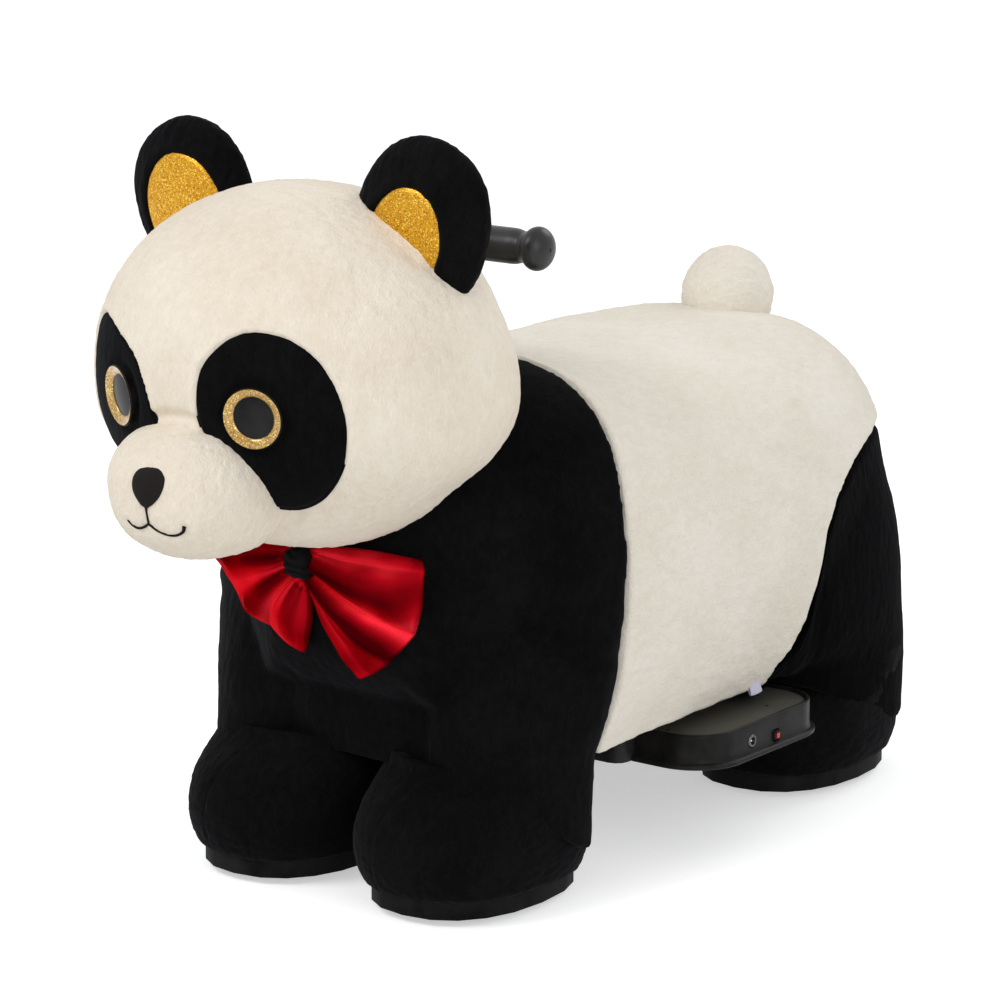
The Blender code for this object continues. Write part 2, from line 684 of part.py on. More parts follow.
def make_tie_rod():
    # a flat bar between the two arms, with a tongue back to the steering column's pin
    y = FRONT_WHEEL[1] + ARM_LENGTH
    reach, half_y, end, tongue_half = FRONT_WHEEL[0], 0.007, 0.008, 0.009
    rod = add("tie_rod", box_mesh("tie_rod", (-reach - end, y - half_y, ROD_Z),
                                  (reach + end, y + half_y, ROD_Z + PLATE)), STEEL, PARTS, (reach, y, 0.0))
    tongue_y = COLUMN_Y + ARM_LENGTH
    join(rod, box_blade("tongue", (-tongue_half, y, ROD_Z),
                        (tongue_half, tongue_y + tongue_half, ROD_Z + PLATE)))
    for x, hole_y in ((reach, y), (-reach, y), (0.0, tongue_y)):
        cut(rod, rod_blade("rod_hole", (x, hole_y, ROD_Z - 0.01), (x, hole_y, ROD_Z + 0.02),
                           PIN_RADIUS + RUN, 12))
    return rod


def make_column():
    origin = (0.0, COLUMN_Y, 0.0)
    tube = rod_mesh("steering_column", (0, COLUMN_Y, PITMAN_Z), (0, COLUMN_Y, BAR_Z - 0.018), COLUMN_RADIUS)
    column = add("steering_column", tube, STEEL_BLACK, PARTS, origin)
    arm = [(a, COLUMN_Y + b) for a, b in arm_outline(ARM_LENGTH, 0.0125, 0.007)]
    join(column, prism_blade("pitman", arm, PITMAN_Z, PITMAN_Z + PLATE))
    pin = (0.0, COLUMN_Y + ARM_LENGTH)
    join(column, rod_blade("pitman_pin", (*pin, ROD_Z - 0.001), (*pin, PITMAN_Z + 0.003), PIN_RADIUS, 12))
    return smooth(column)


def make_column_support():
    # a bearing tube with a foot that stands on the front beam, ahead of the tie rod
    tube_low, tube_top, tube_radius = PITMAN_Z + 0.012, 0.300, 0.015
    foot_front, foot_back, web_back = -0.129, -0.123, -0.108
    web_low, web_top, half_x = PITMAN_Z + 0.014, 0.235, 0.018
    outline = superellipse((0.0, COLUMN_Y), (tube_radius, tube_radius), 2.0, 24)
    tube = prism_mesh("column_support", outline, tube_low, tube_top)
    support = add("column_support", tube, STEEL_BLACK, PARTS)
    plate = [(foot_front, FRAME_TOP + GAP), (foot_back, FRAME_TOP + GAP), (foot_back, web_low),
             (web_back, web_low), (web_back, web_top), (foot_front, web_top)]
    join(support, prism_blade("support_foot", plate, -half_x, half_x, axis="X"))
    bore = rod_mesh("column_bore", (0, COLUMN_Y, 0.1), (0, COLUMN_Y, tube_top + 0.03), COLUMN_RADIUS + RUN)
    return smooth(cut(support, blade("column_bore", bore)))


def make_handlebar():
    # a straight tube in a clamp block on top of the column, with a pod for the go button
    tube = rod_mesh("handlebar", (-BAR_HALF, BAR_Y, BAR_Z), (BAR_HALF, BAR_Y, BAR_Z), BAR_RADIUS)
    bar = add("handlebar", tube, HANDLE, PARTS, (0.0, COLUMN_Y, 0.0))
    front, back, half_z, half_x, bevel = COLUMN_Y - 0.0125, BAR_Y + 0.015, 0.017, 0.018, 0.006
    clamp = [(front, BAR_Z - half_z), (back, BAR_Z - half_z), (back, BAR_Z + half_z - bevel),
             (back - bevel, BAR_Z + half_z), (front + bevel, BAR_Z + half_z), (front, BAR_Z + half_z - bevel)]
    join(bar, prism_blade("clamp", clamp, -half_x, half_x, axis="X"))
    join(bar, rod_blade("pod", (POD_X[0], BAR_Y, BAR_Z), (POD_X[1], BAR_Y, BAR_Z), POD_RADIUS))
    x = (POD_X[0] + POD_X[1]) / 2
    floor = BAR_Y + GO_BACK - 0.0032
    cut(bar, rod_blade("go_hole", (x, floor, BAR_Z), (x, BAR_Y + 0.03, BAR_Z), GO_RADIUS + GAP, 20))
    return smooth(bar)


def make_go_button():
    height, edge = 0.010, 0.0078
    profile = [(0, height), (GO_RADIUS * 0.75, height - 0.0005), (GO_RADIUS, edge), (GO_RADIUS, 0), (0, 0)]
    centre = ((POD_X[0] + POD_X[1]) / 2, BAR_Y + GO_BACK, BAR_Z)
    return smooth(turned("go_button", profile, BUTTON_RED, centre, (0, 1, 0), 20))


def make_grip(side):
    # a sleeve over the bar's end with a waist before its ball end, listed from the ball inwards
    neck, bore, ball = KNOB_X - 0.012, BAR_RADIUS + GAP, KNOB_RADIUS
    profile = [(0, KNOB_X + 0.012), (0.004, KNOB_X + 0.012), (ball - 0.0055, KNOB_X + 0.010),
               (ball - 0.0012, KNOB_X + 0.006), (ball, KNOB_X), (ball - 0.0010, KNOB_X - 0.005),
               (GRIP_RADIUS - 0.0015, neck), (GRIP_RADIUS, neck - 0.001), (GRIP_RADIUS, GRIP_START),
               (bore, GRIP_START), (bore, BAR_HALF + GAP), (0, BAR_HALF + GAP)]
    return smooth(turned(mirror_name("grip", side), profile, HANDLE, (0, BAR_Y, BAR_Z), (side, 0, 0), 16))


# Drive train

def involute(angle):
    return tan(angle) - angle


def gear_outline(teeth, module, phase, backlash):
    pressure = radians(25)
    pitch = module * teeth / 2
    base = pitch * cos(pressure)
    root, tip = pitch - 1.1 * module, pitch + 0.8 * module
    half = (pi * module / 2 - backlash) / (2 * pitch)
    points = []
    for tooth in range(teeth):
        middle = phase + 2 * pi * tooth / teeth
        flank = []
        for radius in (root, tip):
            limit = max(radius, base)
            spread = half + involute(pressure) - involute(acos(base / limit))
            flank.append((radius, spread))
        sides = [(r, middle - s) for r, s in flank] + [(r, middle + s) for r, s in flank[::-1]]
        points += [(r * cos(a), r * sin(a)) for r, a in sides]
    return points


def gear_mesh(name, teeth, module, phase, centre, span):
    outline = gear_outline(teeth, module, phase, 0.14 * module)
    return prism_mesh(name, [(centre[0] + a, centre[1] + b) for a, b in outline], *span, axis="X")


def drive_points():
    # centres of the cluster gear and the motor pinion in Y and Z, ahead of the axle
    hub = (REAR_WHEEL[1], WHEEL_RADIUS)
    cluster = (hub[0] - CLUSTER_REACH * cos(CLUSTER_ANGLE), hub[1] + CLUSTER_REACH * sin(CLUSTER_ANGLE))
    spread = acos((CLUSTER_REACH ** 2 + PINION_DISTANCE ** 2 - PINION_REACH ** 2)
                  / (2 * CLUSTER_REACH * PINION_DISTANCE))
    angle = CLUSTER_ANGLE + spread
    motor = (hub[0] - PINION_DISTANCE * cos(angle), hub[1] + PINION_DISTANCE * sin(angle))
    return hub, cluster, motor


def heading(start, end):
    return Vector((1, 0)).angle_signed(Vector((end[0] - start[0], end[1] - start[1]))) * -1


def make_gears():
    # the wheel's gear meets the cluster's small gear; the cluster's large gear meets the motor pinion
    hub, cluster, motor = drive_points()
    toward = heading(hub, cluster)
    driven = add("driven_gear", gear_mesh("driven_gear", DRIVEN_TEETH, GEAR_MODULE, toward, hub, DRIVEN_X),
                 NYLON, PARTS, (DRIVEN_X[0], *hub))
    cut(driven, rod_blade("driven_bore", (-0.1, *hub), (-0.07, *hub), AXLE_RADIUS + RUN, 12))
    onward = heading(cluster, motor)
    large = gear_mesh("cluster_gear", CLUSTER_TEETH, FINE_MODULE, onward, cluster, CLUSTER_X)
    wheel = add("cluster_gear", large, NYLON, PARTS, (CLUSTER_X[0], *cluster))
    facing = toward + pi + pi / PINION_TEETH
    small = gear_mesh("cluster_pinion", PINION_TEETH, GEAR_MODULE, facing, cluster, SMALL_X)
    join(wheel, blade("cluster_pinion", small))
    cut(wheel, rod_blade("cluster_bore", (-0.09, *cluster), (-0.07, *cluster), SPINDLE_RADIUS + 0.0004, 12))
    facing = onward + pi + pi / PINION_TEETH
    teeth = gear_mesh("motor_pinion", PINION_TEETH, FINE_MODULE, facing, motor, CLUSTER_X)
    pinion = add("motor_pinion", teeth, BRASS, PARTS, (CLUSTER_X[0], *motor))
    join(pinion, rod_blade("motor_shaft", (CLUSTER_X[1] - 0.0035, *motor), (MOTOR_X[0] + 0.0025, *motor),
                           MOTOR_SHAFT_RADIUS, 10))


def make_gear_plate():
    # steel plate between the gears and the arch wall; it carries the cluster gear's spindle
    hub, cluster, motor = drive_points()
    front, back = GEAR_PLATE_X
    inside = back - 0.001
    outline = [(hub[0] + GEAR_PLATE_RADIUS * cos(a), hub[1] + GEAR_PLATE_RADIUS * sin(a)) for a in
               [radians(-10 + 200 * k / 14) for k in range(15)]]
    plate = add("gear_plate", prism_mesh("gear_plate", outline, front, back, axis="X"), STEEL, PARTS)
    boss = rod_mesh("plate_boss", (inside, *hub), (inside + 0.0097, *hub), 0.009)
    spindle = rod_mesh("spindle", (SMALL_X[0] + 0.0001, *cluster), (inside, *cluster), SPINDLE_RADIUS, 12)
    collar = rod_mesh("spindle_collar", (CLUSTER_X[1] + GAP, *cluster), (inside, *cluster), 0.004, 12)
    join(plate, blade("plate_boss", boss), blade("spindle", spindle), blade("spindle_collar", collar))
    bore = rod_mesh("plate_bore", (-0.09, *hub), (-0.05, *hub), AXLE_RADIUS + GAP, 12)
    hole = rod_mesh("plate_shaft_hole", (-0.09, *motor), (-0.05, *motor), SHAFT_HOLE_RADIUS, 12)
    return cut(plate, blade("plate_bore", bore), blade("plate_shaft_hole", hole))


def make_motor():
    motor = drive_points()[2]
    start, end = MOTOR_X
    can = rod_mesh("drive_motor", (start, *motor), (end, *motor), MOTOR_RADIUS, 20)
    body = add("drive_motor", can, STEEL, PARTS)
    bore = MOTOR_SHAFT_RADIUS + 0.0006
    return smooth(cut(body, rod_blade("motor_bore", (start - 0.0065, *motor), (start + 0.003, *motor), bore)))


# Tray, steps, electrics

def rounded_outline(low, high, radius, count=6):
    points = []
    corners = [((high[0] - radius, high[1] - radius), 0), ((low[0] + radius, high[1] - radius), 1),
               ((low[0] + radius, low[1] + radius), 2), ((high[0] - radius, low[1] + radius), 3)]
    for (x, y), quarter in corners:
        for k in range(count + 1):
            angle = pi / 2 * (quarter + k / count)
            points.append((x + radius * cos(angle), y + radius * sin(angle)))
    return points


def make_tray():
    corner, slack = 0.012, 0.010
    outer = rounded_outline((-TRAY_HALF_X, TRAY_Y[0]), (TRAY_HALF_X, TRAY_Y[1]), corner, 3)
    tray = add("chassis_tray", prism_mesh("chassis_tray", outer, TRAY_LOW, TRAY_TOP), COVER_PLASTIC, PARTS)
    half_x, low_y, high_y = TRAY_HALF_X - WALL, TRAY_Y[0] + WALL, TRAY_Y[1] - WALL
    inner = rounded_outline((-half_x, low_y), (half_x, high_y), slack, 3)
    return cut(tray, prism_blade("tray_inside", inner, TRAY_LOW + WALL, TRAY_TOP + 0.01))


def step_outline(side, inset):
    # square on the tray side, round on the outer corners
    near, far = STEP_X[0] + inset, STEP_X[1] - inset
    low, high = STEP_Y[0] + inset, STEP_Y[1] - inset
    radius = STEP_CORNER - inset
    points = [(near, low)]
    for k in range(8):
        angle = -pi / 2 + pi / 2 * k / 7
        points.append((far - radius + radius * cos(angle), low + radius + radius * sin(angle)))
    for k in range(8):
        angle = pi / 2 * k / 7
        points.append((far - radius + radius * cos(angle), high - radius + radius * sin(angle)))
    points.append((near, high))
    return [(side * x, y) for x, y in points]


def make_step(side, paw_room):
    # a moulding open below, with its deck sunk inside a lip and a foot that stands out
    name = mirror_name("foot_step", side)
    foot, deck, lip = 0.004, 0.003, 0.003
    wall = prism_mesh(name, step_outline(side, 0), TRAY_LOW + foot - 0.001, STEP_TOP)
    step = add(name, wall, STEP_PLASTIC, PARTS)
    flange = prism_blade(name + "_flange", step_outline(side, -STEP_FLARE), TRAY_LOW, TRAY_LOW + foot)
    near = box_blade(name + "_near",
                     *sorted_box((side * (STEP_X[0] - 0.02), -0.1, 0.0), (side * STEP_X[0], 0.3, 0.2)))
    join(step, flange)
    under = prism_blade(name + "_under", step_outline(side, WALL), TRAY_LOW - 0.03, STEP_TOP - lip - deck)
    above = prism_blade(name + "_deck", step_outline(side, WALL), STEP_TOP - lip, STEP_TOP + 0.02)
    cut(step, near, under, above, paw_room)
    if side > 0:
        x, y, z = SOCKET_AT
        cut(step, rod_blade("socket_hole", (x - 0.02, y, z), (x + 0.01, y, z), SOCKET_RADIUS + GAP))
        x, y, z = BUTTON_AT
        half_y, half_z = BUTTON_HALF[0] + GAP, BUTTON_HALF[1] + GAP
        cut(step, box_blade("button_hole", (x - 0.02, y - half_y, z - half_z),
                            (x + 0.01, y + half_y, z + half_z)))
    return smooth(step)


def sorted_box(first, second):
    return ([min(a, b) for a, b in zip(first, second)], [max(a, b) for a, b in zip(first, second)])


def make_socket():
    # a round jack with its centre pin standing on the floor of the bore
    depth, floor, pin, pin_radius, edge = 0.016, 0.004, 0.005, 0.001, 0.0008
    inner = [(0, floor + pin - depth), (pin_radius, floor + pin - depth), (pin_radius, floor - depth),
             (SOCKET_BORE, floor - depth), (SOCKET_BORE, 0.0)]
    outer = [(SOCKET_RADIUS - edge, 0.0), (SOCKET_RADIUS, -edge), (SOCKET_RADIUS, -depth), (0, -depth)]
    return smooth(turned("charge_socket", inner + outer, SOCKET_METAL, SOCKET_AT, (1, 0, 0), 16))


def make_power_button():
    x, y, z = BUTTON_AT
    low = (x - BUTTON_DEPTH, y - BUTTON_HALF[0], z - BUTTON_HALF[1])
    high = (x, y + BUTTON_HALF[0], z + BUTTON_HALF[1])
    button = add("power_button", box_mesh("power_button", low, high), BUTTON_RED, PARTS, BUTTON_AT)
    edge = button.modifiers.new("Edge", "BEVEL")
    edge.width = 0.0008
    edge.segments = 1
    return button


def make_battery():
    low, high = (*BATTERY_LOW, TRAY_LOW + WALL + GAP), (*BATTERY_HIGH, BATTERY_TOP)
    return add("battery", box_mesh("battery", low, high), BATTERY_CASE, PARTS)


def make_board():
    # the circuit board on four posts, with its relay, capacitor, heat sink and connector blocks
    low, high = BOARD_Z
    plate = box_mesh("control_board", (*BOARD_LOW, low), (*BOARD_HIGH, high))
    board = add("control_board", plate, BOARD_GREEN, PARTS)
    blocks = [(0.006, 0.006, 0.018, 0.016, 0.0124), (0.032, 0.010, 0.026, 0.008, 0.0104),
              (0.008, 0.036, 0.020, 0.030, 0.0054), (0.040, 0.040, 0.014, 0.032, 0.0144)]
    for x, y, width, length, height in blocks:
        corner = (BOARD_LOW[0] + x, BOARD_LOW[1] + y, high - 0.0006)
        far = (corner[0] + width, corner[1] + length, high + height)
        join(board, box_blade("board_block", corner, far))
    inset, radius = 0.0045, 0.003
    for x in (BOARD_LOW[0] + inset, BOARD_HIGH[0] - inset):
        for y in (BOARD_LOW[1] + 0.030, BOARD_HIGH[1] - inset):
            join(board, rod_blade("board_post", (x, y, TRAY_LOW + WALL + GAP), (x, y, high - 0.0006), radius,
                                  10))
    return board


def make_seat():
    # a tube hoop that stands on the spine and carries the seat board inside the padding
    foot, bend = FRAME_TOP + GAP, SEAT_BEND
    knee = bend * 0.3
    side_view = [(SEAT_FRONT_Y, foot), (SEAT_FRONT_Y, SEAT_Z - bend), (SEAT_FRONT_Y + knee, SEAT_Z - knee),
                 (SEAT_FRONT_Y + bend, SEAT_Z), (SEAT_REAR_Y - bend, SEAT_Z),
                 (SEAT_REAR_Y - knee, SEAT_Z - knee),
                 (SEAT_REAR_Y, SEAT_Z - bend), (SEAT_REAR_Y, foot)]
    path = bpy.data.curves.new("seat_hoop", "CURVE")
    path.dimensions = "3D"
    path.bevel_depth = POST_RADIUS
    path.bevel_resolution = 3
    path.use_fill_caps = True
    line = path.splines.new("POLY")
    line.points.add(len(side_view) - 1)
    for spot, (y, z) in zip(line.points, side_view):
        spot.co = (0.0, y, z, 1.0)
    guide = bpy.data.objects.new("seat_hoop_guide", path)
    CUTTERS.objects.link(guide)
    bpy.context.view_layer.update()
    shape = bpy.data.meshes.new_from_object(guide.evaluated_get(bpy.context.evaluated_depsgraph_get()))
    bpy.data.objects.remove(guide)
    work = bmesh.new()
    work.from_mesh(shape)
    bmesh.ops.remove_doubles(work, verts=work.verts, dist=0.00001)
    hoop = add("seat_hoop", to_mesh("seat_hoop", work), STEEL_BLACK, PARTS)
    middle = (SEAT_FRONT_Y + SEAT_REAR_Y) / 2 + SEAT_BOARD_SHIFT
    outline = superellipse((0.0, middle), SEAT_BOARD_HALF, 4.0, 28)
    low = SEAT_Z + POST_RADIUS + GAP
    board = add("seat_board", prism_mesh("seat_board", outline, low, low + SEAT_BOARD_THICK), WOOD, PARTS)
    return hoop, board


# Bow

def make_bow_lobe(side):
    name = mirror_name("bow_lobe", side)
    reach, fan, folds = 5, 12, 3
    work = bmesh.new()
    sheets = []
    for face in (-1, 1):
        rows = []
        for i in range(reach + 1):
            u = i / reach
            row = []
            for j in range(fan + 1):
                v = j / fan
                angle = BOW_TOP_ANGLE + (BOW_LOW_ANGLE - BOW_TOP_ANGLE) * v
                length = 0.012 + BOW_LENGTH * u * (1 - 0.06 * sin(pi * v)) * (1.0 - 0.04 * v)
                opening = 0.011 * (1 - u) * (1 - 2 * v)
                x = length * cos(angle)
                z = length * sin(angle) + opening
                swell = (0.004 + 0.010 * sin(pi * min(1.0, u * 0.92 + 0.08))) * (0.45 + 0.55 * sin(pi * v))
                crease = 0.0030 * u ** 0.6 * cos(2 * pi * folds * v)
                y = face * swell + crease + BOW_SWEEP * (x / BOW_LENGTH) ** 2 - BOW_SLOPE * min(0.0, z)
                row.append(work.verts.new((side * x, y, z)))
            rows.append(row)
        sheets.append(rows)
    front, back = sheets
    for rows in sheets:
        for i in range(reach):
            for j in range(fan):
                work.faces.new((rows[i][j], rows[i + 1][j], rows[i + 1][j + 1], rows[i][j + 1]))
    rim = [(i, 0) for i in range(reach + 1)] + [(reach, j) for j in range(1, fan + 1)]
    rim += [(i, fan) for i in range(reach - 1, -1, -1)] + [(0, j) for j in range(fan - 1, 0, -1)]
    for (i, j), (m, n) in zip(rim, rim[1:] + rim[:1]):
        work.faces.new((front[i][j], front[m][n], back[m][n], back[i][j]))
    shape = to_mesh(name, work)
    shape.transform(Matrix.Translation(BOW_CENTRE))
    lobe = add(name, shape, SATIN, PARTS)
    return smooth(cut(lobe, YOKE_ROOM, BAND_ROOM), 50)


def make_bow_band():
    x, y, z = BOW_CENTRE
    half_x, half_y, half_z = 0.013, 0.012, 0.013
    outline = superellipse((y, z), (half_y, half_z), 2.6, 16)
    shape = prism_mesh("bow_band", outline, x - half_x, x + half_x, axis="X")
    return add("bow_band", shape, BLACK_PLUSH, PARTS)


clear_scene()
PARTS = make_collection("plush_ride_on_panda")
CUTTERS = make_collection("cutters")

CREAM = make_look("cream plush", tint(232, 222, 208), 0.95)
BLACK_PLUSH = make_look("black plush", tint(18, 18, 19), 0.92)
GOLD = make_look("gold glitter cloth", tint(216, 164, 30), 0.45, 0.6)
EYE_LOOK = make_look("gold ringed eye", tint(170, 132, 52), 0.15, 0.2)
NOSE_LOOK = make_look("nose cloth", tint(48, 44, 42), 0.85)
SATIN = make_look("red satin", tint(196, 18, 34), 0.35)
COVER_PLASTIC = make_look("matt black plastic", tint(26, 26, 27), 0.55)
STEP_PLASTIC = make_look("glossy black plastic", tint(44, 42, 39), 0.25)
RUBBER = make_look("black wheel plastic", tint(30, 30, 31), 0.6)
HANDLE = make_look("black handle plastic", tint(38, 38, 40), 0.4)
STEEL = make_look("zinc plated steel", tint(170, 172, 174), 0.35, 1.0)
STEEL_BLACK = make_look("black painted steel", tint(30, 30, 32), 0.4, 0.3)
NYLON = make_look("white nylon", tint(225, 223, 214), 0.5)
BRASS = make_look("brass", tint(190, 150, 80), 0.3, 1.0)
WOOD = make_look("plywood", tint(186, 148, 100), 0.7)
BATTERY_CASE = make_look("grey battery case", tint(88, 90, 94), 0.5)
BOARD_GREEN = make_look("green circuit board", tint(28, 92, 52), 0.5)
BUTTON_RED = make_look("red plastic", tint(205, 28, 22), 0.3)
SOCKET_METAL = make_look("socket metal", tint(60, 60, 62), 0.35, 0.4)

make_frame()
seat_hoop, seat_board = make_seat()
make_column_support()

# Rooms in the padding
motor_at = drive_points()[2]
hub_at = (REAR_WHEEL[1], WHEEL_RADIUS)
steering_room = box_blade("steering_room", *STEERING_ROOM)
spine_room = box_blade("spine_room", *SPINE_ROOM)
tray_room = box_blade("tray_room", *TRAY_ROOM)
rear_beam_room = box_blade("rear_beam_room", *REAR_BEAM_ROOM)
motor_room = rod_blade("motor_room", (-0.060, *motor_at), (0.0, *motor_at), MOTOR_RADIUS + 0.001)
axle_room = rod_blade("axle_room", (-0.07, *hub_at), (0.07, *hub_at), AXLE_RADIUS + 0.001)
tube_room = rod_blade("tube_room", (0, COLUMN_Y, 0.140), (0, COLUMN_Y, 0.301), TUBE_ROOM_RADIUS)
foot_room = box_blade("foot_room", *FOOT_ROOM)
column_room = rod_blade("column_room", (0, COLUMN_Y, 0.14), (0, COLUMN_Y, 0.50), COLUMN_ROOM_RADIUS)

yoke = make_yoke()
YOKE_ROOM = grown(yoke, GAP)
smooth(cut(yoke, steering_room, tube_room, foot_room, column_room))
barrel = make_barrel()
barrel_room = grown(barrel, GAP)
smooth(cut(barrel, steering_room, tray_room, spine_room, grown(seat_hoop, 0.0015), grown(seat_board, 0.0006)))

band = make_bow_band()
BAND_ROOM = grown(band, GAP)
cut(band, YOKE_ROOM)
head = make_head()
head_room = grown(head, GAP)
muzzle = make_muzzle()
muzzle_room = grown(muzzle, GAP)
for side in (1, -1):
    make_ear(side, head_room)
    make_eye(side, head, head_room, muzzle_room)
    make_bow_lobe(side)
make_nose(muzzle_room)
smooth(cut(muzzle, head_room))
smooth(cut(head, YOKE_ROOM, column_room))
make_tail(barrel_room)

for side in (1, -1):
    make_front_leg(side, [steering_room])
    make_rear_leg(side, [spine_room, rear_beam_room, motor_room])
    x, y = side * FRONT_WHEEL[0], FRONT_WHEEL[1]
    name = mirror_name("paw_front", side)
    kingpin_hole = rod_blade("kingpin_hole", (x, y, 0.09), (x, y, 0.12), KINGPIN_RADIUS + RUN)
    make_cover(mirror_name("wheel_cover_front", side), FRONT_WHEEL, side, kingpin_hole)
    cover_room = cover_outer(name + "_room", FRONT_WHEEL, side, 2 * GAP)
    make_paw(name, FRONT_WHEEL, side, [steering_room, cover_room])
    make_wheel(mirror_name("wheel_front", side), x, y, FORK_AXLE_RADIUS + RUN)
    make_fork(side)
    make_grip(side)

for side in (1, -1):
    x = side * REAR_WHEEL[0]
    inner = x - side * ARCH_HALF_WIDTH
    openings = [rod_blade("axle_hole", (inner - 0.01, *hub_at), (inner + 0.01, *hub_at), AXLE_RADIUS + GAP)]
    if side < 0:
        openings.append(rod_blade("shaft_hole", (-0.07, *motor_at), (-0.05, *motor_at), SHAFT_HOLE_RADIUS))
    name = mirror_name("paw_rear", side)
    make_cover(mirror_name("wheel_cover_rear", side), REAR_WHEEL, side, *openings)
    cover_room = cover_outer(name + "_room", REAR_WHEEL, side, 2 * GAP)
    paw = make_paw(name, REAR_WHEEL, side, [rear_beam_room, motor_room, axle_room, cover_room])
    make_step(side, grown(paw, 0.003))
    make_wheel(mirror_name("wheel_rear", side), x, REAR_WHEEL[1], AXLE_RADIUS + RUN)

make_rear_axle()
make_tie_rod()
make_column()
make_handlebar()
make_go_button()
make_gears()
make_gear_plate()
make_motor()
make_tray()
make_socket()
make_power_button()
make_battery()
make_board()

# The origin is on the ground, midway between the nose and the rump
shift = -(NOSE_CENTRE[1] - NOSE_RADII[1] + BARREL_STATIONS[-1][0]) / 2
for item in bpy.data.objects:
    item.location.y += shift
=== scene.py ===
from math import cos, exp, pi, radians, sin

import bmesh
import bpy
import numpy as np
from mathutils import Matrix, Vector


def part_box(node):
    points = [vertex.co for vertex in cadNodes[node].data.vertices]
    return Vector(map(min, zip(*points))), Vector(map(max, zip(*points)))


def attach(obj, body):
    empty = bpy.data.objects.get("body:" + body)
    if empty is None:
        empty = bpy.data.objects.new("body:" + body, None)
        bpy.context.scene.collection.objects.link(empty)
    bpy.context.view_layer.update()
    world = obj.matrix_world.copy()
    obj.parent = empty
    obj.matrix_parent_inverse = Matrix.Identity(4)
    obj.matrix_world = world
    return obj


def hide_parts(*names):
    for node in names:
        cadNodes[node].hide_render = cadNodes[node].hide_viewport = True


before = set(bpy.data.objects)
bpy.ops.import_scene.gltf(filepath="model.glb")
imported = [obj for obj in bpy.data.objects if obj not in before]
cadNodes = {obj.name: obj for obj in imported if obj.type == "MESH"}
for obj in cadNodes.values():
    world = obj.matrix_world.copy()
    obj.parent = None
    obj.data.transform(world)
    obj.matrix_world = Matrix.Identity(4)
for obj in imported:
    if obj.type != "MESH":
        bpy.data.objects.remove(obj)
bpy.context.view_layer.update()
halfway = -0.00425  # the part's origin is midway along it, so lengths along Y move by this
seamY = -0.088 + halfway
hemZ = 0.118
sides = ((1, "left"), (-1, "right"))
print("frame loaded:", len(cadNodes), "nodes")


def linear(colour):
    # three screen values from 0 to 255 as linear light; four values are linear already
    if len(colour) == 4:
        return colour
    levels = [v / 255 for v in colour]
    return tuple(v / 12.92 if v <= 0.04045 else ((v + 0.055) / 1.055) ** 2.4 for v in levels) + (1.0,)


# Camera, light and floor

studio = {
    "cameraAt": (1.9243, -2.52235, 1.0031), "turn": 37.2, "tilt": 12.8, "lens": 144.0,
    "worldLight": 0.64, "worldColour": (0.96, 0.98, 1.0, 1.0),
    "floorGlow": 0.50, "floorColour": (0.88, 0.88, 0.88, 1.0), "floorReach": 30.0,
    # each lamp's place, the point it faces, its width and its power
    "lamps": {"key": ((-0.9, -2.2, 2.6), (0, -0.1, 0.3), 1.6, 36.0),
              "fill": ((2.6, -1.2, 1.3), (0, 0, 0.3), 1.8, 16.0),
              "rim": ((0.6, 2.4, 2.2), (0, 0.1, 0.3), 1.6, 16.0)},
}


def placeObject(made):
    bpy.context.scene.collection.objects.link(made)
    return made


def placeMesh(mesh, *looks):
    for look in looks:
        mesh.materials.append(look)
    return placeObject(bpy.data.objects.new(mesh.name, mesh))


def placeCamera():
    turn, tilt = radians(studio["turn"]), radians(studio["tilt"])
    back = Vector((sin(turn) * cos(tilt), -cos(turn) * cos(tilt), sin(tilt)))
    right = Vector((cos(turn), sin(turn), 0))
    up = back.cross(right)
    data = bpy.data.cameras.new("camera")
    data.lens, data.sensor_width = studio["lens"], 36.0
    camera = placeObject(bpy.data.objects.new("camera", data))
    facing = Matrix((right, up, back)).transposed().to_4x4()
    camera.matrix_world = Matrix.Translation(studio["cameraAt"]) @ facing
    bpy.context.scene.camera = camera


def softLamp(name, place, aim, size, power):
    data = bpy.data.lights.new(name, "AREA")
    data.shape, data.size, data.energy = "DISK", size, power
    lamp = placeObject(bpy.data.objects.new(name, data))
    lamp.location = place
    lamp.rotation_euler = (Vector(aim) - Vector(place)).to_track_quat("-Z", "Y").to_euler()


def addNode(tree, kind, **values):
    # a shader node, with values for the sockets that are named
    made = tree.nodes.new(kind)
    for socket, value in values.items():
        made.inputs[socket].default_value = value
    return made


def mathNode(tree, operation, first, second):
    made = addNode(tree, "ShaderNodeMath")
    made.operation = operation
    tree.links.new(first, made.inputs[0])
    if isinstance(second, float):
        made.inputs[1].default_value = second
    else:
        tree.links.new(second, made.inputs[1])
    return made.outputs[0]


def paintWorld():
    # an even grey-white room, and plain white behind the object
    world = bpy.data.worlds.new("studio")
    bpy.context.scene.world = world
    world.use_nodes = True
    tree = world.node_tree
    tree.nodes.clear()
    ray = addNode(tree, "ShaderNodeLightPath").outputs
    room = addNode(tree, "ShaderNodeBackground", Color=studio["worldColour"], Strength=studio["worldLight"])
    white = addNode(tree, "ShaderNodeBackground", Color=(1.0, 1.0, 1.0, 1.0), Strength=1.0)
    seen = mathNode(tree, "MAXIMUM", ray["Is Camera Ray"], ray["Is Glossy Ray"])
    mix = addNode(tree, "ShaderNodeMixShader")
    out = addNode(tree, "ShaderNodeOutputWorld")
    tree.links.new(mathNode(tree, "MAXIMUM", seen, ray["Is Transmission Ray"]), mix.inputs[0])
    tree.links.new(room.outputs[0], mix.inputs[1])
    tree.links.new(white.outputs[0], mix.inputs[2])
    tree.links.new(mix.outputs[0], out.inputs["Surface"])


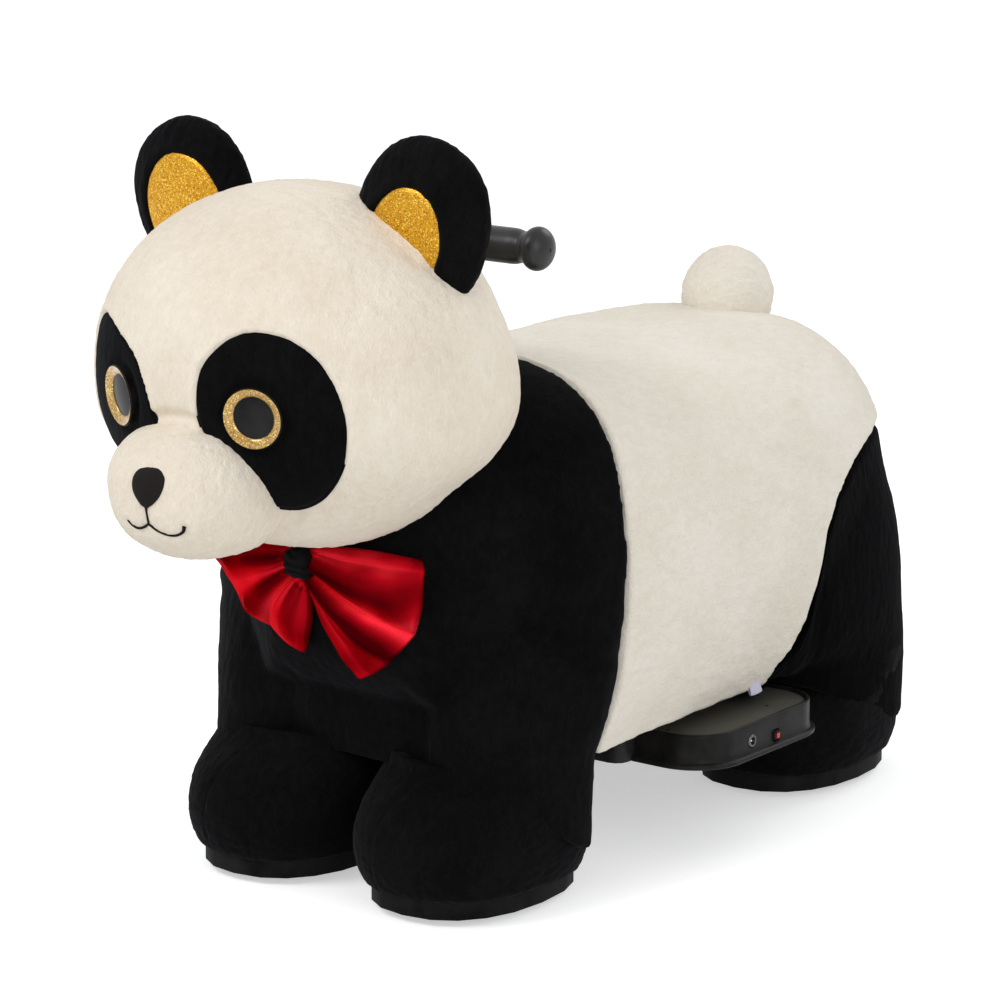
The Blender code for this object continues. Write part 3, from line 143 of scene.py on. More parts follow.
def layFloor():
    # white paint that keeps the shadow, with a glow that only the camera and mirrors see
    far = studio["floorReach"]
    mesh = bpy.data.meshes.new("floor")
    mesh.from_pydata([(-far, -far, 0), (far, -far, 0), (far, far, 0), (-far, far, 0)], [], [(0, 1, 2, 3)])
    look = bpy.data.materials.new("floor_white")
    look.use_nodes = True
    tree = look.node_tree
    tree.nodes.clear()
    ray = addNode(tree, "ShaderNodeLightPath").outputs
    paint = addNode(tree, "ShaderNodeBsdfDiffuse", Color=studio["floorColour"])
    glow = addNode(tree, "ShaderNodeEmission")
    seen = mathNode(tree, "MAXIMUM", ray["Is Camera Ray"], ray["Is Glossy Ray"])
    tree.links.new(mathNode(tree, "MULTIPLY", seen, studio["floorGlow"]), glow.inputs["Strength"])
    both = addNode(tree, "ShaderNodeAddShader")
    out = addNode(tree, "ShaderNodeOutputMaterial")
    tree.links.new(paint.outputs[0], both.inputs[0])
    tree.links.new(glow.outputs[0], both.inputs[1])
    tree.links.new(both.outputs[0], out.inputs["Surface"])
    placeMesh(mesh, look)


placeCamera()
paintWorld()
layFloor()
for lampName, lampSettings in studio["lamps"].items():
    softLamp(lampName, *lampSettings)
bpy.context.scene.view_settings.view_transform = "Standard"
print("studio set")


# Finishes

class Finish:
    # a Principled material with object coordinates ready for its patterns
    def __init__(self, name, colour, roughness, **sockets):
        colour = linear(colour)
        self.look = bpy.data.materials.new(name)
        self.look.use_nodes = True
        self.tree = self.look.node_tree
        self.shader = self.tree.nodes["Principled BSDF"]
        self.shader.inputs["Base Color"].default_value = colour
        self.shader.inputs["Roughness"].default_value = roughness
        for socket, value in sockets.items():
            self.shader.inputs[socket.replace("_", " ")].default_value = value
        self.place = self.tree.nodes.new("ShaderNodeTexCoord").outputs["Object"]
        self.look.diffuse_color = colour

    def stretched(self, stretch):
        mapping = addNode(self.tree, "ShaderNodeMapping", Scale=stretch)
        self.tree.links.new(self.place, mapping.inputs["Vector"])
        return mapping.outputs["Vector"]

    def noise(self, scale, detail=2.0, rough=0.5, stretch=None):
        made = addNode(self.tree, "ShaderNodeTexNoise", Scale=scale, Detail=detail, Roughness=rough)
        self.tree.links.new(self.stretched(stretch) if stretch else self.place, made.inputs["Vector"])
        return made.outputs["Fac"]

    def cells(self, scale, output="Color"):
        made = addNode(self.tree, "ShaderNodeTexVoronoi", Scale=scale)
        self.tree.links.new(self.place, made.inputs["Vector"])
        return made.outputs[output]

    def waves(self, scale, direction, distortion=0.0):
        made = addNode(self.tree, "ShaderNodeTexWave", Scale=scale, Distortion=distortion)
        made.bands_direction = direction
        self.tree.links.new(self.place, made.inputs["Vector"])
        return made.outputs["Fac"]

    def ramp(self, value, stops):
        made = self.tree.nodes.new("ShaderNodeValToRGB")
        points = made.color_ramp.elements
        while len(points) < len(stops):
            points.new(0.5)
        for point, (where, colour) in zip(points, stops):
            point.position, point.color = where, linear(colour)
        self.tree.links.new(value, made.inputs["Fac"])
        return made.outputs["Color"]

    def sum(self, first, second, share):
        made = self.tree.nodes.new("ShaderNodeMath")
        made.operation = "MULTIPLY_ADD"
        made.inputs[1].default_value = share
        self.tree.links.new(second, made.inputs[0])
        self.tree.links.new(first, made.inputs[2])
        return made.outputs[0]

    def span(self, value, low, high, start=0.3, end=0.7):
        made = self.tree.nodes.new("ShaderNodeMapRange")
        for socket, number in zip(("From Min", "From Max", "To Min", "To Max"), (start, end, low, high)):
            made.inputs[socket].default_value = number
        self.tree.links.new(value, made.inputs["Value"])
        return made.outputs["Result"]

    def colour(self, socket):
        self.tree.links.new(socket, self.shader.inputs["Base Color"])

    def roughness(self, socket):
        self.tree.links.new(socket, self.shader.inputs["Roughness"])

    def bump(self, height, distance, strength=1.0):
        made = addNode(self.tree, "ShaderNodeBump", Distance=distance, Strength=strength)
        self.tree.links.new(height, made.inputs["Height"])
        self.tree.links.new(made.outputs["Normal"], self.shader.inputs["Normal"])


def mixed(colour, grey, share):
    # a linear colour with a share of black or white in it
    return tuple(level + (end - level) * share for level, end in zip(colour, (grey, grey, grey, 1)))


def plushFinish(name, colour, shade, light, brushed, sheen, shine, relief, tint, comb):
    # short pile: fine streaks along the comb and soft clumps, coloured darker where their bump is low as
    # painted shade in the pile, and large patches of pile brushed different ways, their lighter and darker
    # tone painted sheen
    made = Finish(name, colour, 0.92, Sheen_Weight=sheen, Sheen_Roughness=0.45, Sheen_Tint=tint)
    made.shader.inputs["Specular IOR Level"].default_value = shine
    streaks = made.noise(620, 3.0, 0.65, comb)
    clumps = made.noise(150, 3.0, 0.6, comb)
    patches = made.noise(brushed, 2.0, 0.5)
    # the tone rises with the bump, as painted shade in the pile's hollows, and with the brushed patches, as
    # painted sheen
    tone = made.sum(made.sum(streaks, clumps, 0.9), patches, 1.1)
    made.colour(made.ramp(made.span(tone, 0.0, 1.0, 1.1, 1.9), [(0.0, shade), (0.5, colour), (1.0, light)]))
    made.bump(made.sum(streaks, clumps, 1.2), relief)
    return made.look


# middle, shade and light colour, size of the brushed patches of painted sheen, sheen, shine, relief, sheen's
# tint, comb
creamPlush = plushFinish("cream_pile", (238, 226, 208), (231, 217, 197), (243, 234, 219),
                         14, 0.10, 0.12, 0.0010, (1.0, 0.97, 0.92, 1.0), (1.0, 1.0, 0.45))
creamBarrel = plushFinish("cream_body_pile", (236, 228, 214), (229, 219, 203), (242, 235, 224),
                          10, 0.10, 0.12, 0.0010, (1.0, 0.98, 0.95, 1.0), (1.0, 0.45, 1.0))
blackPlush = plushFinish("black_pile", (13, 13, 14), (7, 7, 8), (19, 19, 20),
                         16, 0.033, 0.03, 0.0004, (0.9, 0.92, 1.0, 1.0), (1.0, 1.0, 0.6))
# the same black pile painted darker for the rear legs: painted shade against the light that falls on them
haunchShadedPlush = plushFinish("black_haunch_pile_painted_shade", (6, 6, 7), (3, 3, 4), (10, 10, 11),
                          16, 0.016, 0.02, 0.0004, (0.9, 0.92, 1.0, 1.0), (1.0, 1.0, 0.6))


def glitterFinish(name, dark, middle, bright, grain, roughness, coat):
    # flakes that each lie at their own angle, coloured darker and lighter at random, the brightest as painted
    # glints
    made = Finish(name, middle, roughness, Metallic=0.55, Coat_Weight=coat, Coat_Roughness=0.04)
    flakes = made.cells(grain)
    split = made.tree.nodes.new("ShaderNodeSeparateColor")
    made.tree.links.new(flakes, split.inputs[0])
    made.colour(made.ramp(split.outputs["Red"], [(0.0, dark), (0.35, middle), (0.8, middle), (0.97, bright)]))
    made.bump(split.outputs["Green"], 0.0007, 0.7)
    return made.look


# darkest, middle and brightest flakes, the brightest being painted glints, grain, roughness, share of lacquer
goldCloth = glitterFinish("gold_glitter_cloth", (160, 104, 6), (216, 156, 18), (255, 220, 96),
                          1150, 0.42, 0.0)
goldRing = glitterFinish("gold_glitter_ring", (112, 78, 22), (190, 144, 56), (255, 234, 150),
                         1500, 0.3, 1.0)


def satinFinish():
    made = Finish("bow_satin", (170, 6, 20), 0.32, Metallic=0.4, Specular_IOR_Level=0.0,
                  Specular_Tint=(0.8, 0.05, 0.08, 1.0))
    threads = made.noise(900, 2.0, 0.5, (0.25, 1.0, 1.6))
    cloud = made.noise(26, 2.0, 0.5)
    # painted shade down in the folds and a painted highlight along their ridges, read from the lobe's fold
    # depth
    fold = made.tree.nodes.new("ShaderNodeAttribute")
    fold.attribute_name = "fold"
    tone = made.sum(made.sum(fold.outputs["Fac"], threads, 0.10), cloud, 0.05)
    made.colour(made.ramp(made.span(tone, 0.0, 1.0, 0.10, 1.10),
                          [(0.0, (70, 0, 6)), (0.34, (124, 3, 12)), (0.62, (176, 11, 25)),
                           (1.0, (238, 42, 56))]))
    made.roughness(made.span(cloud, 0.22, 0.34))
    made.bump(threads, 0.00018)
    return made.look


def plasticFinish(name, colour, low, high, grain, depth, shine=0.3):
    # moulded plastic with fine grain and faint handling marks
    colour = linear(colour)
    made = Finish(name, colour, (low + high) / 2, Specular_IOR_Level=shine)
    marks = made.noise(34, 4.0, 0.6)
    grainy = made.noise(grain, 2.0, 0.5)
    made.colour(made.ramp(made.span(marks, 0.0, 1.0),
                          [(0.0, mixed(colour, 0, 0.12)), (1.0, mixed(colour, 1, 0.015))]))
    made.roughness(made.span(marks, low, high))
    made.bump(grainy, depth)
    return made.look


def metalFinish(name, colour, low, high, metallic):
    # brushed one way, with faint clouds
    colour = linear(colour)
    made = Finish(name, colour, (low + high) / 2, Metallic=metallic)
    cloud, brushed = made.noise(46, 4.0, 0.6), made.noise(420, 3.0, 0.6, (0.1, 1.0, 1.0))
    made.colour(made.ramp(made.span(cloud, 0.0, 1.0),
                          [(0.0, mixed(colour, 0, 0.18)), (1.0, mixed(colour, 1, 0.06))]))
    made.roughness(made.span(brushed, low, high))
    made.bump(brushed, 0.00012)
    return made.look


def woodFinish():
    made = Finish("bare_plywood", (186, 148, 100), 0.7)
    grain = made.noise(60, 5.0, 0.6, (6.0, 0.4, 1.0))
    made.colour(made.ramp(grain, [(0.3, (160, 120, 76)), (0.7, (204, 168, 120))]))
    made.bump(grain, 0.0003)
    return made.look


def boardFinish():
    made = Finish("green_board", (28, 92, 52), 0.45)
    tracks = made.cells(240, "Distance")
    made.colour(made.ramp(tracks, [(0.2, (20, 76, 42)), (0.5, (44, 116, 66))]))
    made.bump(tracks, 0.0002)
    return made.look


def tagFinish():
    made = Finish("bare_tag_cloth", (222, 220, 236), 0.6)
    weave = made.waves(900, "Z")
    made.colour(made.ramp(weave, [(0.0, (206, 203, 226)), (1.0, (232, 231, 242))]))
    made.bump(weave, 0.0001)
    return made.look


def stitchFinish(name, dark, light, direction):
    # close rows of thread
    made = Finish(name, dark, 0.8, Specular_IOR_Level=0.1)
    rows = made.waves(520, direction, 1.2)
    fuzz = made.noise(500, 2.0, 0.6)
    tone = made.sum(rows, fuzz, 0.6)
    made.colour(made.ramp(made.span(tone, 0.0, 1.0, 0.3, 1.3), [(0.0, dark), (1.0, light)]))
    made.bump(made.sum(rows, fuzz, 0.4), 0.0004)
    return made.look


satin = satinFinish()
noseCloth = stitchFinish("nose_stitching", (30, 27, 26), (46, 42, 40), "X")
mouthThread = stitchFinish("mouth_thread", (22, 19, 19), (44, 38, 36), "Z")
bandCloth = stitchFinish("black_band_cloth", (7, 7, 8), (16, 16, 17), "X")
# colour, least and greatest roughness, grain and its depth, shine
pupilGloss = plasticFinish("black_pupil", (6, 5, 5), 0.05, 0.09, 900, 0.00001, 0.12)
rimBrown = plasticFinish("dark_eye_rim", (18, 13, 10), 0.35, 0.45, 900, 0.00001, 0.05)
stepPlastic = plasticFinish("glossy_step_plastic", (18, 17, 15), 0.30, 0.38, 700, 0.00003, 0.08)
# the step plastic painted much lighter for the tread: painted light
deckLitPlastic = plasticFinish("satin_deck_plastic_painted_light", (80, 78, 70), 0.42, 0.55, 700, 0.00004, 0.15)
coverPlastic = plasticFinish("matt_cover_plastic", (7, 7, 7), 0.55, 0.68, 900, 0.00010, 0.05)
trayPlastic = plasticFinish("tray_plastic", (20, 19, 19), 0.42, 0.58, 800, 0.00010, 0.2)
wheelPlastic = plasticFinish("wheel_moulding", (26, 26, 27), 0.5, 0.66, 600, 0.00014, 0.2)
handlePlastic = plasticFinish("handle_rubber", (20, 20, 21), 0.30, 0.40, 900, 0.00005, 0.34)
redPlastic = plasticFinish("red_button_plastic", (206, 22, 16), 0.24, 0.34, 900, 0.00003, 0.35)
nylonWhite = plasticFinish("white_nylon", (224, 221, 211), 0.42, 0.55, 700, 0.00006)
batteryGrey = plasticFinish("grey_battery_case", (88, 90, 94), 0.42, 0.55, 700, 0.00008)
# colour, least and greatest roughness, share of bare metal
zincSteel = metalFinish("zinc_plated_steel", (176, 178, 180), 0.28, 0.46, 1.0)
blackSteel = metalFinish("black_painted_steel", (30, 30, 32), 0.34, 0.5, 0.2)
pinMetal = metalFinish("bright_pin", (214, 212, 206), 0.18, 0.28, 0.9)
socketSteel = metalFinish("dark_nickel", (74, 74, 77), 0.25, 0.4, 0.9)
brassMetal = metalFinish("machined_brass", (196, 156, 84), 0.25, 0.38, 1.0)
plywood = woodFinish()
circuitBoard = boardFinish()
tagCloth = tagFinish()
print("finishes made:", len(bpy.data.materials))


# Shape helpers

def latticeNoise(points, size, seed):
    # smooth value noise from -1 to 1 on a lattice of the given cell size
    place = np.asarray(points, float) / size
    cell = np.floor(place).astype(np.int64)
    part = place - cell
    part = part * part * (3 - 2 * part)
    total = np.zeros(len(place))
    for corner in range(8):
        step = np.array([corner & 1, corner >> 1 & 1, corner >> 2 & 1])
        key = ((cell + step) * (73856093, 19349663, 83492791)).sum(1) + seed * 7919
        key = (key ^ (key >> 13)) * 1274126177 & 0xFFFFFFFF
        key = (key ^ (key >> 16)) & 0xFFFF
        total += np.prod(np.where(step, part, 1 - part), axis=1) * (key / 32767.5 - 1)
    return total


def combed(points, comb, keep=0.35):
    # squeezes places along the pile, so that noise read there runs in streaks
    along = np.asarray(comb, float) / np.linalg.norm(comb)
    return points - (1 - keep) * np.outer(points @ along, along)


def pileHeight(points, comb, seed, tuft=0.00045, dent=0.0011):
    streaky = combed(points, comb)
    height = tuft * latticeNoise(streaky, 0.0042, seed)
    height += tuft * 0.8 * latticeNoise(streaky, 0.0026, seed + 1)
    height += dent * latticeNoise(points, 0.055, seed + 2)
    return height + dent * 0.4 * latticeNoise(points, 0.024, seed + 3)


def vertexNormals(verts, quads):
    a, b, c, d = (verts[quads[:, k]] for k in range(4))
    across = np.cross(c - a, d - b)
    normals = np.zeros_like(verts)
    for k in range(4):
        for axis in range(3):
            normals[:, axis] += np.bincount(quads[:, k], across[:, axis], len(verts))
    return normals / np.maximum(lengths(normals), 1e-12)[:, None]


def newPiece(name, verts, faces, look, uvs=None):
    mesh = bpy.data.meshes.new(name)
    mesh.from_pydata(verts, [], faces)
    if uvs is not None:
        mesh.uv_layers.new(name="OFBake").data.foreach_set("uv", np.asarray(uvs, np.float32).ravel())
    mesh.shade_smooth()
    return placeMesh(mesh, look)


def pieceOf(work, name, *looks, angle=None):
    # an edited mesh as an object, smooth but for the edges sharper than the angle
    mesh = bpy.data.meshes.new(name)
    work.to_mesh(mesh)
    work.free()
    mesh.shade_smooth()
    if angle:
        mesh.set_sharp_from_angle(angle=radians(angle))
    return placeMesh(mesh, *looks)


def turnOutwards(mesh):
    work = bmesh.new()
    work.from_mesh(mesh)
    bmesh.ops.recalc_face_normals(work, faces=work.faces)
    work.to_mesh(mesh)
    work.free()


def finalMesh(made):
    # the object's mesh with its modifiers worked in
    return bpy.data.meshes.new_from_object(made.evaluated_get(bpy.context.evaluated_depsgraph_get()))


def lengths(vectors):
    return np.linalg.norm(vectors, axis=1)


def bell(distance, width):
    # 1 on a line, fading out on both sides of it
    return np.exp(-(distance / width) ** 2)


def shareOut(points, middle, reach):
    # distance from a spot as a share of its reach
    return lengths((points - middle) / reach)


def dome(points, middle, reach):
    # 1 at a spot, fading out all round it
    return np.exp(-(((points - middle) / reach) ** 2).sum(1))


def rolled(distance, radius):
    # 1 at a rounded edge, 0 from its radius inwards
    return 1 - np.sqrt(np.clip(1 - (1 - np.clip(distance / radius, 0, 1)) ** 2, 0, 1))


def squaredRound(count, power):
    # cosines and sines round a circle that the power squares off
    angle = np.linspace(0, 2 * pi, count, endpoint=False)
    c, s = np.cos(angle), np.sin(angle)
    return np.sign(c) * np.abs(c) ** (2 / power), np.sign(s) * np.abs(s) ** (2 / power)


def settle(piece, body, slot, *nodes):
    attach(piece, body)
    if nodes:
        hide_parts(*nodes)


def cubeBall(cells):
    # directions of a cube's grid blown up to a ball, with one square of the map for each side
    grid = np.tan(np.linspace(-pi / 4, pi / 4, cells + 1))
    a, b = (g.ravel() for g in np.meshgrid(grid, grid, indexing="ij"))
    one = np.ones_like(a)
    sides = [(one, a, b), (-one, -a, b), (-a, one, b), (a, -one, b), (a, b, one), (a, -b, -one)]
    loose = np.concatenate([np.stack(side, 1) for side in sides])
    _, first, spot = np.unique(np.round(loose * 1e6).astype(np.int64), axis=0, return_index=True,
                               return_inverse=True)
    verts = loose[first]
    verts = verts / lengths(verts)[:, None]
    row = np.arange(cells)
    i, j = (g.ravel() for g in np.meshgrid(row, row, indexing="ij"))
    corner = i * (cells + 1) + j
    square = np.stack([corner, corner + cells + 1, corner + cells + 2, corner + 1], 1)
    quads = np.concatenate([spot.ravel()[square + k * (cells + 1) ** 2] for k in range(6)])
    u, v = np.stack([i, i + 1, i + 1, i], 1) / cells, np.stack([j, j, j + 1, j + 1], 1) / cells
    flat = [np.stack([(u * 0.96 + 0.02 + k % 3) / 3, (v * 0.96 + 0.02 + k // 3) / 2], -1) for k in range(6)]
    return verts, quads, np.concatenate(flat).reshape(-1, 2)


def browOut(egg, x, z, ahead):
    # how far the brow stands out in front, at shares of the egg's radii
    return egg.get("brow", 0) * np.exp(-(x / 0.38) ** 2 - (z / 0.6) ** 2) * np.clip(4 * ahead, 0, 1)


def eggPlaces(directions, egg):
    # the CAD's squared egg: fuller low down, flatter behind, with a brow
    spread = (np.abs(directions) ** egg["power"]).sum(1) ** (1 / egg["power"])
    x, y, z = (directions / spread[:, None]).T
    radii = egg["radii"]
    depth = np.where(y > 0, egg.get("back", radii[1]), radii[1])
    wide = radii[0] * (1 - egg.get("cheeks", 0) * z)
    return np.stack([x * wide, y * depth - browOut(egg, x, z, -y), z * radii[2]], 1)


def frontOf(egg, x, z):
    # Y of the egg's front over given X and Z
    radii, centre, power = egg["radii"], egg["centre"], egg["power"]
    up = (z - centre[2]) / radii[2]
    side = (x - centre[0]) / (radii[0] * (1 - egg.get("cheeks", 0) * up))
    left = np.clip(1 - np.abs(side) ** power - np.abs(up) ** power, 0, 1)
    depth = left ** (1 / power)
    return centre[1] - depth * radii[1] - browOut(egg, side, up, depth)


def distanceToPath(points, path, closed=False):
    # shortest distance from each point to a line of points, in as many axes as they have
    path = np.asarray(path, float)
    starts, ends = path, np.roll(path, -1, axis=0)
    if not closed:
        starts, ends = path[:-1], path[1:]
    best = np.full(len(points), 1e9)
    for start, end in zip(starts, ends):
        way = end - start
        share = np.clip(((points - start) @ way) / (way @ way), 0, 1)
        best = np.minimum(best, lengths(points - start - share[:, None] * way))
    return best


def insideOutline(points, outline):
    inside = np.zeros(len(points), bool)
    for (x1, y1), (x2, y2) in zip(outline, np.roll(outline, -1, axis=0)):
        if y1 == y2:
            continue
        crosses = (y1 > points[:, 1]) != (y2 > points[:, 1])
        inside ^= crosses & (points[:, 0] < (x2 - x1) * (points[:, 1] - y1) / (y2 - y1) + x1)
    return inside


def signedDistance(points, outline):
    # negative inside
    distance = distanceToPath(points, outline, closed=True)
    return np.where(insideOutline(points, outline), -distance, distance)


def roundLine(points, count, closed=True):
    # Catmull-Rom curve through the points
    points = np.asarray(points, float)
    size = len(points)
    made = []
    spans = size if closed else size - 1
    for k in range(spans):
        if closed:
            p = [points[(k + m) % size] for m in (-1, 0, 1, 2)]
        else:
            p = [points[min(max(k + m, 0), size - 1)] for m in (-1, 0, 1, 2)]
        for t in np.arange(count) / count:
            made.append(0.5 * (2 * p[1] + (p[2] - p[0]) * t + (2 * p[0] - 5 * p[1] + 4 * p[2] - p[3]) * t ** 2
                               + (3 * p[1] - p[0] - 3 * p[2] + p[3]) * t ** 3))
    if not closed:
        made.append(points[-1])
    return np.array(made)


def smoothStep(value, low, high):
    t = np.clip((value - low) / (high - low), 0, 1)
    return t * t * (3 - 2 * t)


def gridFaces(rows, columns, around=True):
    i, j = (g.ravel() for g in np.meshgrid(np.arange(rows - 1), np.arange(columns if around else columns - 1),
                                           indexing="ij"))
    k = (j + 1) % columns
    quads = np.stack([i * columns + j, i * columns + k, (i + 1) * columns + k, (i + 1) * columns + j], 1)
    wide = columns if around else columns - 1
    u = np.stack([j, j + 1, j + 1, j], 1) / wide
    v = np.stack([i, i, i + 1, i + 1], 1) / (rows - 1)
    return quads, np.stack([u * 0.98 + 0.01, v * 0.98 + 0.01], -1)


# Head: the skin, with the eye patches' places pressed in and the pile raised round them

head = {
    "centre": (0.0, -0.223 + halfway, 0.431), "radii": (0.173, 0.140, 0.139), "back": 0.110, "power": 2.15,
    "cheeks": 0.06, "brow": 0.010, "cells": 124, "comb": (0.25, -0.2, 1.0),
    "dart": [(0.046, -0.332, 0.524), (0.066, -0.315, 0.532), (0.0825, -0.289, 0.541)],
    # places where the skin falls back or stands out, and how far they reach
    "earRoot": ((0.104, -0.223 + halfway, 0.532), (0.058, 0.030, 0.030)),
    "barSwing": ((0.0, -0.116, 0.508), (0.10, 0.06, 0.032)),
    "fuller": ((0.142, -0.178, 0.425), (0.05, 0.05, 0.040)),
    "slimmer": ((0.120, -0.215, 0.338), (0.060, 0.085, 0.034)),
}
patch = {
    # in the photograph the right patch leans outwards more than the left one
    "outlines": {
        1: [(0.0155, 0.436), (0.0185, 0.451), (0.0275, 0.465), (0.041, 0.4762), (0.058, 0.4805),
            (0.081, 0.4765), (0.1005, 0.4645), (0.113, 0.448), (0.1205, 0.429), (0.1222, 0.406),
            (0.1172, 0.385), (0.106, 0.366), (0.090, 0.351), (0.071, 0.3435), (0.050, 0.346),
            (0.034, 0.366), (0.021, 0.394), (0.015, 0.418)],
        -1: [(-0.026, 0.396), (-0.030, 0.410), (-0.034, 0.424), (-0.040, 0.438), (-0.051, 0.450),
             (-0.066, 0.459), (-0.083, 0.466), (-0.100, 0.472), (-0.117, 0.473), (-0.130, 0.464),
             (-0.136, 0.446), (-0.137, 0.423), (-0.132, 0.399), (-0.120, 0.376), (-0.103, 0.359),
             (-0.083, 0.350), (-0.061, 0.350), (-0.041, 0.364)]},
    "sunk": 0.0022, "lift": -0.0002, "rings": 44, "cut": (0.108, 0.136), "cutArea": 0.0122,
}
muzzle = {
    "centre": (0.0, -0.345 + halfway, 0.356), "radii": (0.0635, 0.069, 0.052), "power": 2.25, "cells": 84,
    "comb": (0.2, 0.6, 1.0), "meets": (0.074, 0.077, 0.060), "flatter": {1: 0.0066, -1: -0.0040},
    # spots on the sides, seen from the front, and how far they reach
    "beside": ((0.052, 0, 0.380), (0.024, 1, 0.028)), "gather": ((0.064, 0, 0.345), (0.014, 1, 0.030)),
    "swell": ((0.034, 0, 0.343), (0.026, 1, 0.022)),
    "crease": [(0.0545, -0.391, 0.3510), (0.0590, -0.383, 0.3524), (0.0640, -0.371, 0.3538)],
}
mouth = {
    "stem": [(0.0035, 0.3545), (0.0042, 0.3500), (0.0045, 0.3455), (0.0045, 0.3405)],
    "left": [(0.0045, 0.3405), (0.0105, 0.3362), (0.0180, 0.3334), (0.0250, 0.3334), (0.0305, 0.3366),
             (0.0325, 0.3412)],
    "right": [(0.0045, 0.3405), (-0.0010, 0.3372), (-0.0070, 0.3352), (-0.0130, 0.3364), (-0.0175, 0.3400)],
    "thread": 0.0010, "deep": -0.0002,
}
patchLines = {side: roundLine(line, 12) for side, line in patch["outlines"].items()}


def softPad(name, egg, sculpt, seed, look, slot, node):
    # a squared egg with its pile, pressed and gathered where sculpt says
    directions, quads, flat = cubeBall(egg["cells"])
    places = eggPlaces(directions, egg)
    if "lean" in egg:
        places = places @ np.array(Matrix.Rotation(egg["lean"], 3, "Y")).T
    places = places + egg["centre"]
    normals = vertexNormals(places, quads)
    height = pileHeight(places, egg["comb"], seed, egg.get("tuft", 0.00045), egg.get("dent", 0.0011))
    places = places + normals * (height + sculpt(places))[:, None]
    made = newPiece(name, places, quads, look, flat)
    settle(made, "root", slot, node)


def sculptHead(places):
    front = places[:, 1] < head["centre"][1] - 0.02
    height = np.zeros(len(places))
    for side in (1, -1):
        near = front & (places[:, 0] * side > -0.01)
        edge = signedDistance(places[near][:, [0, 2]], patchLines[side])
        roll = 0.0010 * bell(edge - 0.003, 0.004)
        height[near] += roll - (patch["sunk"] + 0.0010) * smoothStep(-edge, -0.0006, 0.0022)
    # the skin dips where the muzzle, the ears and the bar's swing meet it
    height -= 0.0042 * bell(shareOut(places, muzzle["centre"], muzzle["meets"]) - 1.0, 0.08)
    for side in (1, -1):
        height -= 0.0020 * bell(shareOut(places * (side, 1, 1), *head["earRoot"]) - 0.9, 0.25)
    height -= 0.0030 * np.exp(-shareOut(places, *head["barSwing"]) ** 4)
    # fuller at the sides towards the back, slimmer below them
    for side in (1, -1):
        height += 0.0055 * dome(places * (side, 1, 1), *head["fuller"])
        height -= 0.0105 * dome(places * (side, 1, 1), *head["slimmer"])
    # a little slimmer towards the neck, and a short dart beside each ear
    height -= 0.0036 * smoothStep(-places[:, 2], -0.41, -0.35) * smoothStep(np.abs(places[:, 0]), 0.03, 0.09)
    for side in (1, -1):
        height -= 0.0009 * bell(distanceToPath(places, np.array(head["dart"]) * (side, 1, 1)), 0.0019)
    # a sewn seam over the crown from ear to ear
    crown = np.abs(places[:, 1] - head["centre"][1] + 0.036 + 0.10 * (places[:, 0] / 0.17) ** 2)
    height -= 0.0007 * bell(crown, 0.0016) * smoothStep(places[:, 2], 0.49, 0.52)
    return height


softPad("head_skin", head, sculptHead, 11, creamPlush, "cream_plush", "head")
print("head skin made")


def sculptMuzzle(places):
    # grooves that the mouth's thread pulls in, and a crease at each cheek
    height = np.zeros(len(places))
    front = places[:, 1] < muzzle["centre"][1] + 0.01
    flat = places[front][:, [0, 2]]
    pull = np.zeros(len(flat))
    for line in ("stem", "left", "right"):
        away = distanceToPath(flat, roundLine(mouth[line], 5, closed=False))
        pull = np.maximum(pull, bell(away, 0.0028))
    height[front] -= 0.0012 * pull
    for side, flatter in muzzle["flatter"].items():
        crease = np.array(muzzle["crease"]) * (side, 1, 1)
        height -= 0.0009 * bell(distanceToPath(places, crease), 0.0018)
        # flatter above the cheek, beside the eye
        height -= flatter * dome(places * (side, 0, 1), *muzzle["beside"])
        # and gathered where its lower left corner meets the head
        height -= 0.0030 * (side > 0) * dome(places * (side, 0, 1), *muzzle["gather"])
    return height + 0.0016 * bell(shareOut(np.abs(places) * (1, 0, 1), *muzzle["swell"]), 1)


softPad("muzzle_skin", muzzle, sculptMuzzle, 31, creamPlush, "cream_plush", "muzzle")


# Patches sewn flush into the head, nose, mouth and eyes

def sewnSheet(name, line, surface, centre, lift, rings, seed, look, slot, node, holes=()):
    # a sheet over the surface inside the outline; its rim dives under the pile round it
    middle = line.mean(0)
    rows = np.linspace(0.03, 1.015, rings)
    flat = np.concatenate([middle + (line - middle) * share for share in rows])
    share = np.repeat(rows, len(line))
    reach = lengths(line - middle)
    inward = (1 - share) * np.tile(reach, rings)
    base = surface(flat)
    quads, _ = gridFaces(rings, len(line))
    spread = (flat - flat.min(0)) / (flat.max(0) - flat.min(0)) * 0.98 + 0.01
    normals = vertexNormals(base, quads)
    normals = normals * np.where(((base - centre) * normals).sum(1) < 0, -1, 1)[:, None]
    height = lift - 0.0022 * bell(inward, 0.0016)
    height += 0.5 * pileHeight(base, (0.3, 0.1, 1.0), seed, 0.0004, 0.0006)
    for spot, wide in holes:
        away = lengths(base - spot)
        height -= 0.0016 * bell(away - wide, 0.004)
    faces = quads.tolist() + [list(range(len(line)))]
    corners = np.concatenate([quads.ravel(), np.arange(len(line))])
    verts = base + normals * height[:, None]
    if normals.sum(0) @ vertexNormals(verts, quads).sum(0) < 0:
        faces = [face[::-1] for face in faces]
        corners = np.concatenate([np.array(face) for face in faces])
    made = newPiece(name, verts, faces, look, spread[corners])
    settle(made, "root", slot, node)


eye = {
    "centre": (0.060, -0.3612 + halfway, 0.418), "ring": 0.0232, "pupil": 0.0160, "low": 0.0004,
    "crest": 0.0037, "bulge": 0.0012, "below": 0.0050, "around": 72,
    "aside": {1: 0.0018, -1: 0.0118}, "turn": {1: 1.5, -1: 4.5}, "sunk": {1: -0.0002, -1: 0.0014},
}


